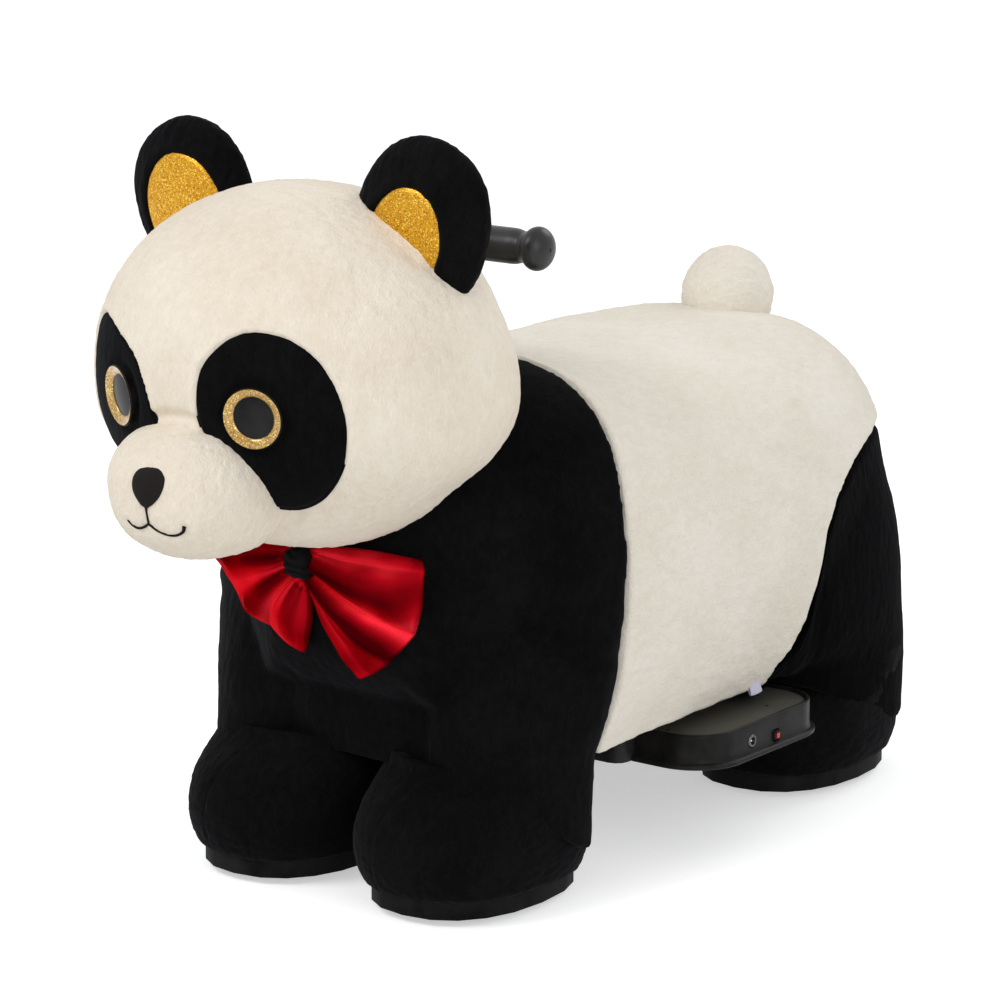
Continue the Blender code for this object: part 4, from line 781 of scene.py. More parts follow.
def eyeDirection(side):
    # where an eye stands on the head and the way it looks, turned outwards a little
    x, z = side * (eye["centre"][0] + eye["aside"][side]), eye["centre"][2]
    y = float(frontOf(head, np.array([x]), np.array([z]))[0])
    spot = Vector((x, y, z))
    away = Vector([(spot[k] - head["centre"][k]) / head["radii"][k] ** 2 for k in range(3)]).normalized()
    away.rotate(Matrix.Rotation(side * radians(eye["turn"][side]), 3, "Z"))
    return spot, away


def lathe(name, profile, looks, place, axis, around):
    # profile is (radius, height) with a look's number behind it, if not 0; turned about the axis
    turn = Vector(axis).to_track_quat("Z", "Y").to_matrix().to_4x4()
    work = bmesh.new()
    rows = []
    for radius, height, *_ in profile:
        angles = [2 * pi * k / around for k in range(around)] if radius > 0 else [0]
        rows.append([work.verts.new((radius * cos(t), radius * sin(t), height)) for t in angles])
    for (row, after), (_, _, *look) in zip(zip(rows, rows[1:]), profile[1:]):
        for k in range(around):
            j = (k + 1) % around
            if len(row) == 1 and len(after) == 1:
                continue
            if len(row) == 1:
                face = work.faces.new((row[0], after[j], after[k]))
            elif len(after) == 1:
                face = work.faces.new((row[k], row[j], after[0]))
            else:
                face = work.faces.new((row[k], row[j], after[j], after[k]))
            face.material_index = look[0] if look else 0
    if len(rows[0]) > 1 and len(rows[-1]) > 1:
        for k in range(around):
            j = (k + 1) % around
            work.faces.new((rows[-1][k], rows[-1][j], rows[0][j], rows[0][k]))
    bmesh.ops.recalc_face_normals(work, faces=work.faces)
    work.transform(Matrix.Translation(place) @ turn)
    return pieceOf(work, name, *looks, angle=38)


def makeEye(side, word):
    # the pupil lies low inside the ring, whose face slopes down to it
    middle, away = eyeDirection(side)
    ring, pupil, low, crest = eye["ring"], eye["pupil"], eye["low"], eye["crest"]
    share = np.linspace(0, 1, 13)
    profile = [(pupil * t, low + eye["bulge"] * (1 - t ** 2), 1) for t in share]
    face, inner = ring - 0.0014 - pupil, low + 0.0004
    profile += [(pupil + 0.0003, inner, 0)]
    profile += [(pupil + face * t, inner + (crest - low - 0.0006) * t ** 0.8) for t in share[2::2]]
    profile += [(ring - 0.0007, crest), (ring - 0.0002, crest - 0.0003, 2),
                (ring + 0.0002, crest - 0.0012, 2), (ring - 0.0004, crest - 0.0022, 2),
                (ring - 0.0026, -eye["below"], 2), (0.0, -0.0052, 2)]
    made = lathe("eye_dome_" + word, profile, [goldRing, pupilGloss, rimBrown],
                 middle + away * (0.0010 - eye["sunk"][side]), away, eye["around"])
    settle(made, "root", "eye_gold", "eye_" + word)


def makePatch(side, word):
    def surface(flat):
        return np.stack([flat[:, 0], frontOf(head, flat[:, 0], flat[:, 1]), flat[:, 1]], 1)

    middle, _ = eyeDirection(side)
    sewnSheet("eye_patch_skin_" + word, patchLines[side], surface, head["centre"], patch["lift"],
              patch["rings"], 51 + side, blackPlush, "black_plush", "eye_patch_" + word,
              [(np.array(middle), eye["ring"] + 0.001)])


for side, word in sides:
    makePatch(side, word)
    makeEye(side, word)

nose = {
    "centre": (0.0035, 0.3668), "half": (0.0148, 0.0148), "height": 0.0066, "rings": 22,
    "outline": [(0.0, 1.0), (0.40, 0.97), (0.74, 0.80), (0.95, 0.48), (1.0, 0.12), (0.90, -0.24),
                (0.66, -0.58), (0.34, -0.88), (0.04, -1.0), (-0.26, -0.88), (-0.58, -0.56), (-0.84, -0.20),
                (-0.98, 0.18), (-0.98, 0.54), (-0.78, 0.84), (-0.42, 0.97)],
}


def makeNose():
    # a stuffed, stitched nose: the outline domes up from the muzzle
    line = roundLine(nose["outline"], 6) * nose["half"]
    verts = []
    for share in np.linspace(0.0, 1.0, nose["rings"])[1:]:
        flat = line * share + nose["centre"]
        lift = -0.0012 + (nose["height"] + 0.0012) * (1 - share ** 2.4) ** 0.62
        y = frontOf(muzzle, flat[:, 0], flat[:, 1]) - lift
        verts.append(np.stack([flat[:, 0], y, flat[:, 1]], 1))
    verts = np.concatenate(verts)
    quads, _ = gridFaces(nose["rings"] - 1, len(line))
    x, z = nose["centre"]
    tip = [(x, float(frontOf(muzzle, np.array([x]), np.array([z]))[0]) - nose["height"], z)]
    fan = [(k, (k + 1) % len(line), len(verts)) for k in range(len(line))]
    rim = list(range(len(verts) - len(line), len(verts)))
    made = newPiece("nose_pad", np.concatenate([verts, tip]), quads.tolist() + fan + [rim], noseCloth)
    turnOutwards(made.data)
    made.data.shade_smooth()
    made.data.set_sharp_from_angle(angle=radians(60))
    settle(made, "root", "nose_cloth", "nose")


def makeMouth():
    # thread lies in its groove, in a shallow bevel of its own
    data = bpy.data.curves.new("mouth", "CURVE")
    data.dimensions, data.bevel_depth, data.bevel_resolution = "3D", mouth["thread"], 3
    data.use_fill_caps = True
    for line in ("stem", "left", "right"):
        flat = roundLine(mouth[line], 8, closed=False)
        y = frontOf(muzzle, flat[:, 0], flat[:, 1]) + mouth["deep"]
        spline = data.splines.new("POLY")
        spline.points.add(len(flat) - 1)
        for k, (spot, (x, z), deep) in enumerate(zip(spline.points, flat, y)):
            spot.co = (x, deep, z, 1.0)
            spot.radius = 1.0 + 0.5 * smoothStep(k / len(flat), 0.6, 1.0) * (line == "left")
    guide = placeObject(bpy.data.objects.new("mouth_guide", data))
    bpy.context.view_layer.update()
    mesh = finalMesh(guide)
    bpy.data.objects.remove(guide)
    mesh.name = "mouth_stitching"
    mesh.materials.clear()
    mesh.shade_smooth()
    settle(placeMesh(mesh, mouthThread), "root", "nose_cloth")


makeNose()
makeMouth()
print("face made")


# Ears: thick discs with a gold lining let into the front

ear = {
    "centre": (0.1145, -0.222 + halfway, 0.5475), "radii": (0.058, 0.020, 0.0655), "lean": 24.0,
    "power": 2.15, "cells": 66, "comb": (0.2, 0.1, 1.0), "dent": 0.0007,
    "lining": (0.0325, 0.0415), "liningShift": (-0.0045, -0.0115), "cut": (0.074, 0.090),
    # the two ears differ a little: shift, size, and the lining's shift and growth
    "own": {1: (-0.0055, 1.04, (0.0030, -0.001, 0.0025)), -1: (0.0010, 1.0, (-0.0050, 0.003, 0.0068))},
}


def makeEar(side, word):
    shift, grown, lining = ear["own"][side]
    centre = np.array((side * ear["centre"][0] + shift, ear["centre"][1], ear["centre"][2] - 0.002))
    lean = np.array(Matrix.Rotation(side * radians(ear["lean"]), 3, "Y"))
    angle = np.linspace(0, 2 * pi, 180, endpoint=False)
    middle = (side * ear["liningShift"][0] + lining[0], ear["liningShift"][1] + lining[1])
    half = (ear["lining"][0] + lining[2], ear["lining"][1] + lining[2])
    ownLine = np.stack([middle[0] + half[0] * np.cos(angle), middle[1] + half[1] * np.sin(angle)], 1)
    radii = np.array(ear["radii"]) * (grown, 1, grown)

    def sculpt(places):
        own = (places - centre) @ lean
        edge = signedDistance(own[:, [0, 2]], ownLine)
        front = own[:, 1] < 0
        sunk = 0.0026 * smoothStep(-edge, -0.0012, 0.0020)
        return np.where(front, 0.0008 * bell(edge - 0.004, 0.004) - sunk, 0.0)

    egg = {**ear, "centre": centre, "radii": radii, "lean": side * radians(ear["lean"])}
    softPad("ear_skin_" + word, egg, sculpt, 61 + side, blackPlush, "black_plush", "ear_" + word)

    def surface(flat):
        shape = {**ear, "centre": (0.0, 0.0, 0.0), "radii": radii}
        own = np.stack([flat[:, 0], frontOf(shape, flat[:, 0], flat[:, 1]), flat[:, 1]], 1)
        return own @ lean.T + centre

    sewnSheet("ear_lining_skin_" + word, ownLine, surface, centre, -0.0006, 26, 71 + side, goldCloth,
              "gold_glitter", "ear_lining_" + word)


for side, word in sides:
    makeEar(side, word)

tail = {
    "centre": (0.0, 0.346 + halfway, 0.404), "radii": (0.038, 0.044, 0.043), "power": 2.0, "cells": 52,
    "comb": (0.1, 0.9, -0.5), "tuft": 0.0006, "dent": 0.0016,
}
softPad("tail_skin", tail, lambda places: np.zeros(len(places)), 81, creamBarrel, "cream_plush", "tail")
print("ears and tail made")


# Torso: the cream body, sewn to the black front along one seam

body = {
    # y, half width, top, half width at the hem, hem height, height of the widest point, crown power
    "stations": [
        (-0.088, 0.204, 0.428, 0.177, hemZ, 0.262, 3.2), (-0.042, 0.204, 0.416, 0.172, hemZ, 0.262, 2.9),
        (0.010, 0.203, 0.406, 0.169, hemZ, 0.262, 2.65), (0.075, 0.201, 0.401, 0.166, hemZ, 0.262, 2.5),
        (0.140, 0.198, 0.400, 0.163, hemZ, 0.262, 2.5), (0.210, 0.193, 0.400, 0.160, hemZ, 0.262, 2.5),
        (0.270, 0.185, 0.400, 0.156, hemZ, 0.262, 2.45), (0.320, 0.173, 0.398, 0.150, hemZ, 0.262, 2.4),
        (0.360, 0.153, 0.391, 0.135, hemZ, 0.262, 2.35), (0.392, 0.126, 0.379, 0.110, hemZ, 0.262, 2.3),
        (0.415, 0.092, 0.362, 0.080, hemZ, 0.262, 2.2), (0.429, 0.045, 0.342, 0.040, 0.200, 0.285, 2.0)],
    "haunch": [(0.137, 0.090), (0.150, 0.100), (0.176, 0.132), (0.190, 0.147), (0.200, 0.173),
               (0.205, 0.202), (0.212, 0.240), (0.230, 0.272), (0.260, 0.291), (0.295, 0.304),
               (0.338, 0.312), (0.480, 0.316)],
    "rows": 200, "across": 220, "comb": (0.1, 1.0, -0.35),
    # depth and radius of the rolled edge at the seam, and how deep the haunch covers press
    "edge": (0.0050, 0.007), "pressed": 0.0110, "underCover": 0.016,
    # the sections that close the rump, as shares of the last one, about a point this high
    "rump": (0.86, 0.68, 0.46, 0.22), "rumpZ": 0.322, "rumpOut": 0.0042,
    # start, end, width and depth of each fold on the left
    "folds": [((0.196, 0.085, 0.330), (0.186, 0.205, 0.262), 0.010, 0.0014),
              ((0.190, 0.120, 0.350), (0.186, 0.225, 0.300), 0.009, 0.0011),
              ((0.150, 0.030, 0.392), (0.182, 0.110, 0.368), 0.012, 0.0010),
              ((0.203, -0.020, 0.230), (0.190, 0.060, 0.190), 0.012, 0.0009)],
}


def between(stations, y):
    # every figure of the stations read at y along smooth curves
    known = np.array([s[0] for s in stations]) + halfway
    table = np.array(stations)[:, 1:]
    slopes = np.gradient(table, known, axis=0)
    spot = np.clip(np.searchsorted(known, y) - 1, 0, len(known) - 2)
    gap = (known[spot + 1] - known[spot])[:, None]
    t = ((y - known[spot]) / (known[spot + 1] - known[spot]))[:, None]
    return ((2 * t ** 3 - 3 * t ** 2 + 1) * table[spot] + (t ** 3 - 2 * t ** 2 + t) * gap * slopes[spot]
            + (3 * t ** 2 - 2 * t ** 3) * table[spot + 1] + (t ** 3 - t ** 2) * gap * slopes[spot + 1])


def sectionHalf(row, z, lowerPower):
    # half width of one section at height z
    half, top, hemHalf, hem, widest, crown = row
    up = np.clip((z - widest) / np.maximum(top - widest, 1e-4), 0, 1)
    down = np.clip((widest - z) / np.maximum(widest - hem, 1e-4), 0, 1)
    above = half * np.clip(1 - up ** crown, 0, 1) ** (1 / crown)
    return np.where(z > widest, above, half - (half - hemHalf) * down ** lowerPower)


def torsoSection(row, count, lowerPower, floor=0.0):
    # right half of one section from under the middle to the top, evenly spaced
    half, top, hemHalf, hem, widest, crown = row
    angle = np.linspace(0, pi / 2, 60)
    upper = np.stack([half * np.cos(angle) ** (2 / crown),
                      widest + (top - widest) * np.sin(angle) ** (2 / crown)], 1)
    t = np.linspace(1, 0, 40)[:-1]
    lower = np.stack([half - (half - hemHalf) * t ** lowerPower, widest - (widest - hem) * t], 1)
    low = max(hem, floor)
    corner = min(0.007, hemHalf * 0.3)
    edge = float(sectionHalf(row, low + corner, lowerPower))
    bend = np.linspace(-pi / 2, 0, 8)
    foot = np.stack([edge - corner + corner * np.cos(bend), low + corner + corner * np.sin(bend)], 1)
    side = np.concatenate([lower, upper])
    line = np.concatenate([[(0.0, low)], foot, side[side[:, 1] > low + corner + 1e-5]])
    steps = np.concatenate([[0], np.cumsum(lengths(np.diff(line, axis=0)))])
    spots = np.linspace(0, steps[-1], count)
    return np.stack([np.interp(spots, steps, line[:, 0]), np.interp(spots, steps, line[:, 1])], 1)


def torsoHalf(y, z, stations, lowerPower):
    # half width of the torso at given Y and Z
    rows = between(stations, np.clip(y, stations[0][0] + halfway, stations[-1][0] + halfway))
    return sectionHalf(rows.T, z, lowerPower)


def wholeRing(right, y):
    # both halves of a section, as one ring at Y
    ring = np.concatenate([right, right[-2:0:-1] * (-1, 1)])
    return np.stack([ring[:, 0], np.full(len(ring), y), ring[:, 1]], 1)


def ringSkin(rows, counts):
    # rings of equal size, closed at both ends with a face
    verts = np.concatenate(rows)
    quads, uvs = gridFaces(len(rows), counts)
    ends = [list(range(counts))[::-1], list(range(len(verts) - counts, len(verts)))]
    return verts, quads, ends, uvs


def finishSkin(name, skin, height, look, slot, node):
    # a skin of rings turned outwards, with its pile
    verts, quads, ends, uvs = skin
    normals = vertexNormals(verts, quads)
    centre = verts.mean(0)
    if ((verts - centre) * normals).sum() < 0:
        normals, quads, ends = -normals, quads[:, ::-1], [end[::-1] for end in ends]
        uvs = uvs[:, ::-1]
    verts = verts + normals * height[:, None]
    endMap = np.concatenate([np.full((len(end), 2), 0.002) for end in ends])
    made = newPiece(name, verts, quads.tolist() + ends, look, np.concatenate([uvs.reshape(-1, 2), endMap]))
    settle(made, "root", slot, node)


def seamSweep(verts):
    # the seam to the black front runs back a little over the shoulders
    turn = np.arctan2(verts[:, 2] - 0.262, np.abs(verts[:, 0]))
    sweep = 0.0045 - 0.0040 * smoothStep(turn, 0.05, 0.35) + 0.0140 * bell(turn - 0.95, 0.36)
    sweep = sweep * smoothStep(verts[:, 2], 0.125, 0.180) * smoothStep(np.abs(verts[:, 0]), 0.03, 0.10)
    return sweep * bell(verts[:, 1] - seamY, 0.035)


def makeBody():
    first, last = body["stations"][0][0] + halfway, body["stations"][-1][0] + halfway
    even = np.linspace(0, 1, body["rows"])
    y = first + 0.0004 + (last - first - 0.0004) * (even - 0.10 * np.sin(2 * pi * even) / (2 * pi) * 2)
    count = body["across"]
    table = between(body["stations"], y)
    rings = []
    seam = np.array(body["haunch"]) + (halfway, 0)
    for spot, row in zip(y, table):
        floor = np.interp(spot, *seam.T) - body["underCover"] if spot > seam[0, 0] else 0.0
        rings.append(wholeRing(torsoSection(row, count, 2.0, floor), spot))
    # the rump closes over a rounded end
    middle = np.array([0.0, last, body["rumpZ"]])
    ring = rings[-1] - middle
    for share in body["rump"]:
        rings.append(middle + ring * (share, 1, share) + (0, body["rumpOut"] * (1 - share ** 2) ** 0.5, 0))
    skin = ringSkin(rings, 2 * count - 2)
    verts = skin[0]
    verts[:, 1] += seamSweep(verts)
    height = pileHeight(verts, body["comb"], 101, 0.0005, 0.0013)
    # rolled edge at the seam, folds, and the haunch pressed under its black cover
    deep, radius = body["edge"]
    height -= deep * rolled(verts[:, 1] - seamSweep(verts) - first, radius)
    for start, end, wide, deep in body["folds"]:
        for flip in (1, -1):
            line = np.array([start, end]) * (flip, 1, 1) + (0, halfway, 0)
            away = distanceToPath(verts, line)
            height += deep * (bell(away, wide) - 0.8 * bell(away - 1.6 * wide, wide))
    zone = np.array(body["haunch"] + [(0.48, 0.02), (0.128, 0.02)]) + (halfway, 0)
    inside = -signedDistance(verts[:, [1, 2]], zone)
    height += 0.0008 * bell(inside + 0.004, 0.004) * smoothStep(verts[:, 2], 0.12, 0.15)
    height -= body["pressed"] * smoothStep(inside, -0.002, 0.010)
    finishSkin("body_skin", skin, height, creamBarrel, "cream_plush", "body_barrel")


makeBody()
print("cream body made")


# Haunches: black covers that follow the body at the seam and stand over the rear legs

haunch = {
    # z, centre x, centre y, half width, half length
    "levels": [(0.036, 0.0985, 0.308, 0.0820, 0.0985), (hemZ, 0.0985, 0.310, 0.0815, 0.0985),
               (0.132, 0.098, 0.286, 0.086, 0.121), (0.152, 0.098, 0.264, 0.090, 0.140),
               (0.190, 0.098, 0.254, 0.092, 0.146), (0.235, 0.097, 0.247, 0.092, 0.144),
               (0.280, 0.095, 0.237, 0.089, 0.137), (0.330, 0.092, 0.222, 0.083, 0.128)],
    "axis": (0.098, 0.262), "power": 2.7, "around": 300, "rows": 96, "comb": (0.1, 0.15, -1.0),
    "proud": 0.0016, "furthest": 0.26, "softened": 26,
    # the hem's height at the front, its fall and where along the leg it falls
    "hem": 0.106, "fall": 0.060, "fallsFrom": 0.190, "fallsTo": 0.372,
    # depth and radius of the rolled hem and of the rolled top
    "hemRoll": (0.0070, 0.010), "topRoll": (0.0075, 0.008),
    # shares of the top's outline that close it, and how far they drop
    "lid": ((0.86, 0.004), (0.55, 0.012), (0.2, 0.016)),
}


def readLevels(levels, z):
    known = np.array([level[0] for level in levels])
    table = np.array(levels)[:, 1:]
    return np.stack([np.interp(z, known, table[:, k]) for k in range(4)], -1)


def makeHaunch(side, word):
    axisX, axisY = np.array(haunch["axis"]) + (0, halfway)
    angle = np.linspace(0, 2 * pi, haunch["around"], endpoint=False)
    c, s = np.cos(angle), np.sin(angle)
    seam = np.array(body["haunch"]) + (halfway, 0)

    def reach(z):
        # how far out the leg or the body's skin lies from the upright axis, whichever is further
        centreX, centreY, halfX, halfY = readLevels(haunch["levels"], z).T
        centreY = centreY + halfway
        low, high = np.zeros(len(z)), np.full(len(z), haunch["furthest"])
        for _ in range(34):
            middle = (low + high) / 2
            x, y = axisX + middle * c, axisY + middle * s
            leg = (np.abs((x - centreX) / halfX) ** haunch["power"]
                   + np.abs((y - centreY) / halfY) ** haunch["power"]) < 1
            skin = (x < torsoHalf(y, z, body["stations"], 2.0) + haunch["proud"]) & (x > 0.004)
            skin &= (x > axisX - 0.012) & (y < 0.345) & (y > axisY - 0.15)
            inside = leg | (skin & (z > hemZ - 0.004))
            low, high = np.where(inside, middle, low), np.where(inside, high, middle)
        return low

    top = np.full(len(angle), 0.20)
    for _ in range(24):
        y = axisY + reach(top) * s
        top = 0.6 * top + 0.4 * np.interp(y, *seam.T)
    # the hem falls towards the heel
    bottom = np.full(len(angle), 0.105)
    for _ in range(12):
        y = axisY + reach(bottom) * s
        fall = haunch["fall"] * smoothStep(y, haunch["fallsFrom"], haunch["fallsTo"])
        bottom = 0.5 * bottom + 0.5 * (haunch["hem"] - fall)
    rim = np.maximum(top, bottom + 0.004)
    heights = np.array([bottom + (rim - bottom) * share for share in np.linspace(0, 1, haunch["rows"])])
    radii = np.array([reach(z) for z in heights])
    # soften the corners where one form hands over to the other
    for _ in range(haunch["softened"]):
        radii = 0.5 * radii + 0.25 * (np.roll(radii, 1, 1) + np.roll(radii, -1, 1))
        radii[1:-1] = 0.5 * radii[1:-1] + 0.25 * (radii[:-2] + radii[2:])
    for off, (deep, radius) in ((heights - bottom, haunch["hemRoll"]), (rim - heights, haunch["topRoll"])):
        radii = radii - deep * rolled(off, radius)
    # the top closes inside the body
    lid, lidRadius = heights[-1], radii[-1]
    for share, drop in haunch["lid"]:
        radii = np.vstack([radii, lidRadius * share])
        heights = np.vstack([heights, lid * share + lid.mean() * (1 - share) - drop])
    # the hem turns up inside, clear of the gears and the wheel cover
    hemLine, hemRadius = heights[0], radii[0]
    for share, z in ((0.95, hemLine + 0.003), (0.93, np.maximum(hemLine + 0.012, 0.100)),
                     (0.92, np.full(len(c), 0.120)), (0.60, np.full(len(c), 0.124))):
        radii, heights = np.vstack([hemRadius * share, radii]), np.vstack([z, heights])
    skin = ringSkin(np.stack([side * (axisX + radii * c), axisY + radii * s, heights], -1), len(c))
    height = pileHeight(skin[0], haunch["comb"], 121 + side, 0.0003, 0.0008)
    # the rear legs wear the darker copy of the black pile, as painted shade
    finishSkin("rear_leg_skin_" + word, skin, height, haunchShadedPlush, "black_plush", "rear_leg_" + word)


for side, word in sides:
    makeHaunch(side, word)
print("haunches made")


# Black front: shoulder yoke and both front legs as one skin, welded on a voxel grid and smoothed

yoke = {
    "stations": [
        (-0.088, 0.204, 0.428, 0.112, hemZ, 0.262, 3.2), (-0.120, 0.188, 0.427, 0.110, 0.132, 0.262, 2.9),
        (-0.150, 0.153, 0.418, 0.102, 0.148, 0.262, 2.6), (-0.174, 0.125, 0.400, 0.088, 0.162, 0.262, 2.4),
        (-0.190, 0.105, 0.374, 0.072, 0.178, 0.264, 2.3), (-0.204, 0.088, 0.346, 0.054, 0.202, 0.268, 2.3),
        (-0.214, 0.066, 0.320, 0.036, 0.232, 0.273, 2.2), (-0.219, 0.034, 0.298, 0.018, 0.256, 0.276, 2.0)],
    "legs": [(0.036, 0.1105, -0.108, 0.0625, 0.070), (0.1183, 0.1135, -0.107, 0.0635, 0.075),
             (0.150, 0.1145, -0.105, 0.0725, 0.072), (0.190, 0.1170, -0.102, 0.0780, 0.067),
             (0.230, 0.1150, -0.099, 0.0860, 0.060), (0.265, 0.1110, -0.097, 0.0910, 0.054),
             (0.300, 0.1050, -0.096, 0.0925, 0.047), (0.330, 0.098, -0.096, 0.0870, 0.034)],
    # a panel of the same cloth closes the chest between the legs, in front of the steel beam
    "gusset": [(0.104, 0.082, -0.128, 0.038), (0.140, 0.082, -0.130, 0.042), (0.180, 0.082, -0.128, 0.042)],
    "power": 2.35, "voxel": 0.0027, "smoothing": 16, "comb": (0.1, 0.1, -1.0),
    "lowFront": 0.1045, "lowBack": 0.0440, "slimmer": ((0.10, 0.17, 0.26), (0.004, 0.010, 0.013)),
    "legSpan": (0.038, 0.330), "seamGap": 0.0004, "chestRows": 90, "chestAcross": 120, "chestZ": 0.276,
    "crease": [(0.052, -0.176, 0.110), (0.060, -0.186, 0.170), (0.082, -0.180, 0.235)],
    "fold": [(0.120, -0.176, 0.236), (0.176, -0.150, 0.222), (0.196, -0.110, 0.214)],
}


def joinedMesh(name, parts):
    # several closed skins in one mesh
    verts, faces, start = [], [], 0
    for own, ownFaces in parts:
        verts.append(np.asarray(own, float))
        faces += [[k + start for k in face] for face in ownFaces]
        start += len(own)
    mesh = bpy.data.meshes.new(name)
    mesh.from_pydata(np.concatenate(verts), [], faces)
    return placeMesh(mesh)


def outwardFaces(verts, quads, ends):
    normals = vertexNormals(verts, quads)
    if ((verts - verts.mean(0)) * normals).sum() < 0:
        return quads[:, ::-1].tolist() + [end[::-1] for end in ends]
    return quads.tolist() + ends


def weld(made, voxel, smoothing):
    # one skin from overlapping forms; returns its vertices and faces
    remesh = made.modifiers.new("weld", "REMESH")
    remesh.mode, remesh.voxel_size, remesh.use_smooth_shade = "VOXEL", voxel, True
    relax = made.modifiers.new("relax", "SMOOTH")
    relax.factor, relax.iterations = 0.5, smoothing
    mesh = finalMesh(made)
    bpy.data.objects.remove(made)
    verts = np.empty(len(mesh.vertices) * 3)
    mesh.vertices.foreach_get("co", verts)
    quads = np.array([list(face.vertices) for face in mesh.polygons])
    bpy.data.meshes.remove(mesh)
    return verts.reshape(-1, 3), quads


def boxMap(verts, quads):
    # each face laid flat on the side it faces most, with a place of its own for each side
    a, b, c, d = (verts[quads[:, k]] for k in range(4))
    normal = np.cross(c - a, d - b)
    axis = np.abs(normal).argmax(1)
    side = axis * 2 + (normal[np.arange(len(normal)), axis] > 0)
    low, span = verts.min(0), (verts.max(0) - verts.min(0)).max()
    spots = (verts[quads] - low) / span
    uv = np.zeros((len(quads), 4, 2))
    for k in range(6):
        pair = [m for m in range(3) if m != k // 2]
        own = side == k
        uv[own] = spots[own][:, :, pair] * 0.96 + 0.02
        uv[own] = (uv[own] + (k % 3, k // 3)) / (3, 2)
    return uv.reshape(-1, 2)


def chestForm():
    first, last = yoke["stations"][-1][0] + halfway, seamY
    y = np.linspace(last - yoke["seamGap"], first, yoke["chestRows"])
    count = yoke["chestAcross"]
    rings = [wholeRing(torsoSection(row, count, 1.0), spot)
             for spot, row in zip(y, between(yoke["stations"][::-1], y))]
    # the chest closes over a rounded end
    middle = np.array([0.0, first, yoke["chestZ"]])
    ring = rings[-1] - middle
    for share in (0.8, 0.55, 0.25):
        rings.append(middle + ring * (share, 1, share) - (0, 0.004 * (1 - share ** 2) ** 0.5, 0))
    return ringSkin(rings, 2 * count - 2)


def legForm(side):
    # the shoulder and leg of one side, slimmer at their outer front corner
    c, s = squaredRound(200, yoke["power"])
    low, high = yoke["legSpan"]
    rings = []
    for share in np.linspace(0, 1, 110):
        z = np.full(len(c), low + (high - low) * share)
        centreX, centreY, halfX, halfY = readLevels(yoke["legs"], z).T
        corner = 2 * np.clip(c, 0, 1) * np.clip(-s, 0, 1) * np.interp(z, *yoke["slimmer"])
        ownX, ownY = centreX + halfX * c - corner, centreY + halfY * s + halfway + 0.7 * corner
        ownY = np.minimum(ownY, seamY - yoke["seamGap"])
        slope = smoothStep(ownY, -0.204, -0.095)
        floor = yoke["lowFront"] + (yoke["lowBack"] - yoke["lowFront"]) * slope
        rings.append(np.stack([side * ownX, ownY, np.maximum(z, floor)], 1))
    return ringSkin(rings, len(c))


def gussetForm():
    c, s = squaredRound(120, 4.0)
    heights, *figures = np.array(yoke["gusset"]).T
    rings = []
    for z in np.linspace(heights[0], heights[-1], 30):
        half, centre, deep = (np.interp(z, heights, figure) for figure in figures)
        rings.append(np.stack([half * c, centre + halfway + deep * s, np.full(len(c), z)], 1))
    return ringSkin(rings, len(c))


def makeFront():
    forms = [chestForm(), legForm(1), legForm(-1), gussetForm()]
    joined = joinedMesh("front_forms", [(own, outwardFaces(own, quads, ends))
                                        for own, quads, ends, _ in forms])
    verts, quads = weld(joined, yoke["voxel"], yoke["smoothing"])
    verts[:, 1] += seamSweep(verts)
    height = pileHeight(verts, yoke["comb"], 141, 0.0004, 0.0010)
    # the skin is pulled in along the seam, and a crease runs between chest and leg
    height -= 0.0012 * bell(np.abs(verts[:, 1] - seamSweep(verts) - seamY), 0.0045)
    for side in (1, -1):
        crease, fold = (np.array(line) * (side, 1, 1) for line in (yoke["crease"], yoke["fold"]))
        height -= 0.0022 * bell(distanceToPath(verts, crease), 0.008)
        away = distanceToPath(verts, fold)
        height += 0.0016 * (bell(away, 0.009) - 0.8 * bell(away - 0.014, 0.009))
    verts = verts + vertexNormals(verts, quads) * height[:, None]
    made = newPiece("front_skin", verts, quads, blackPlush, boxMap(verts, quads))
    settle(made, "root", "black_plush", "shoulder_yoke", "front_leg_left", "front_leg_right")


makeFront()
print("black front made")


# Paws: soft covers over the wheel covers, whose plastic rims show below them

paw = {
    # z, front, back, half width about the wheel's centre
    "levels": [(0.020, -0.081, 0.106, 0.074), (0.038, -0.088, 0.111, 0.079), (0.058, -0.089, 0.113, 0.080),
               (0.076, -0.081, 0.112, 0.080), (0.090, -0.067, 0.112, 0.079), (0.099, -0.051, 0.111, 0.079),
               (0.107, -0.042, 0.111, 0.079), (0.1175, -0.040, 0.111, 0.079)],
    "power": 2.3, "around": 260, "rows": 74, "comb": (0.1, 1.0, 0.2),
    # hem, top, how far the front paws' top falls behind, radius at the shoulder, and the sewn arcs' places
    "low": 0.020, "top": 0.117, "fall": 0.040, "shoulder": {"front": 0.013, "rear": 0.004},
    "arcs": (-1.9, -1.25),
}
wheelAt = {"front_left": (0.086, -0.143), "front_right": (-0.086, -0.143), "rear_left": (0.101, 0.293),
           "rear_right": (-0.101, 0.293)}


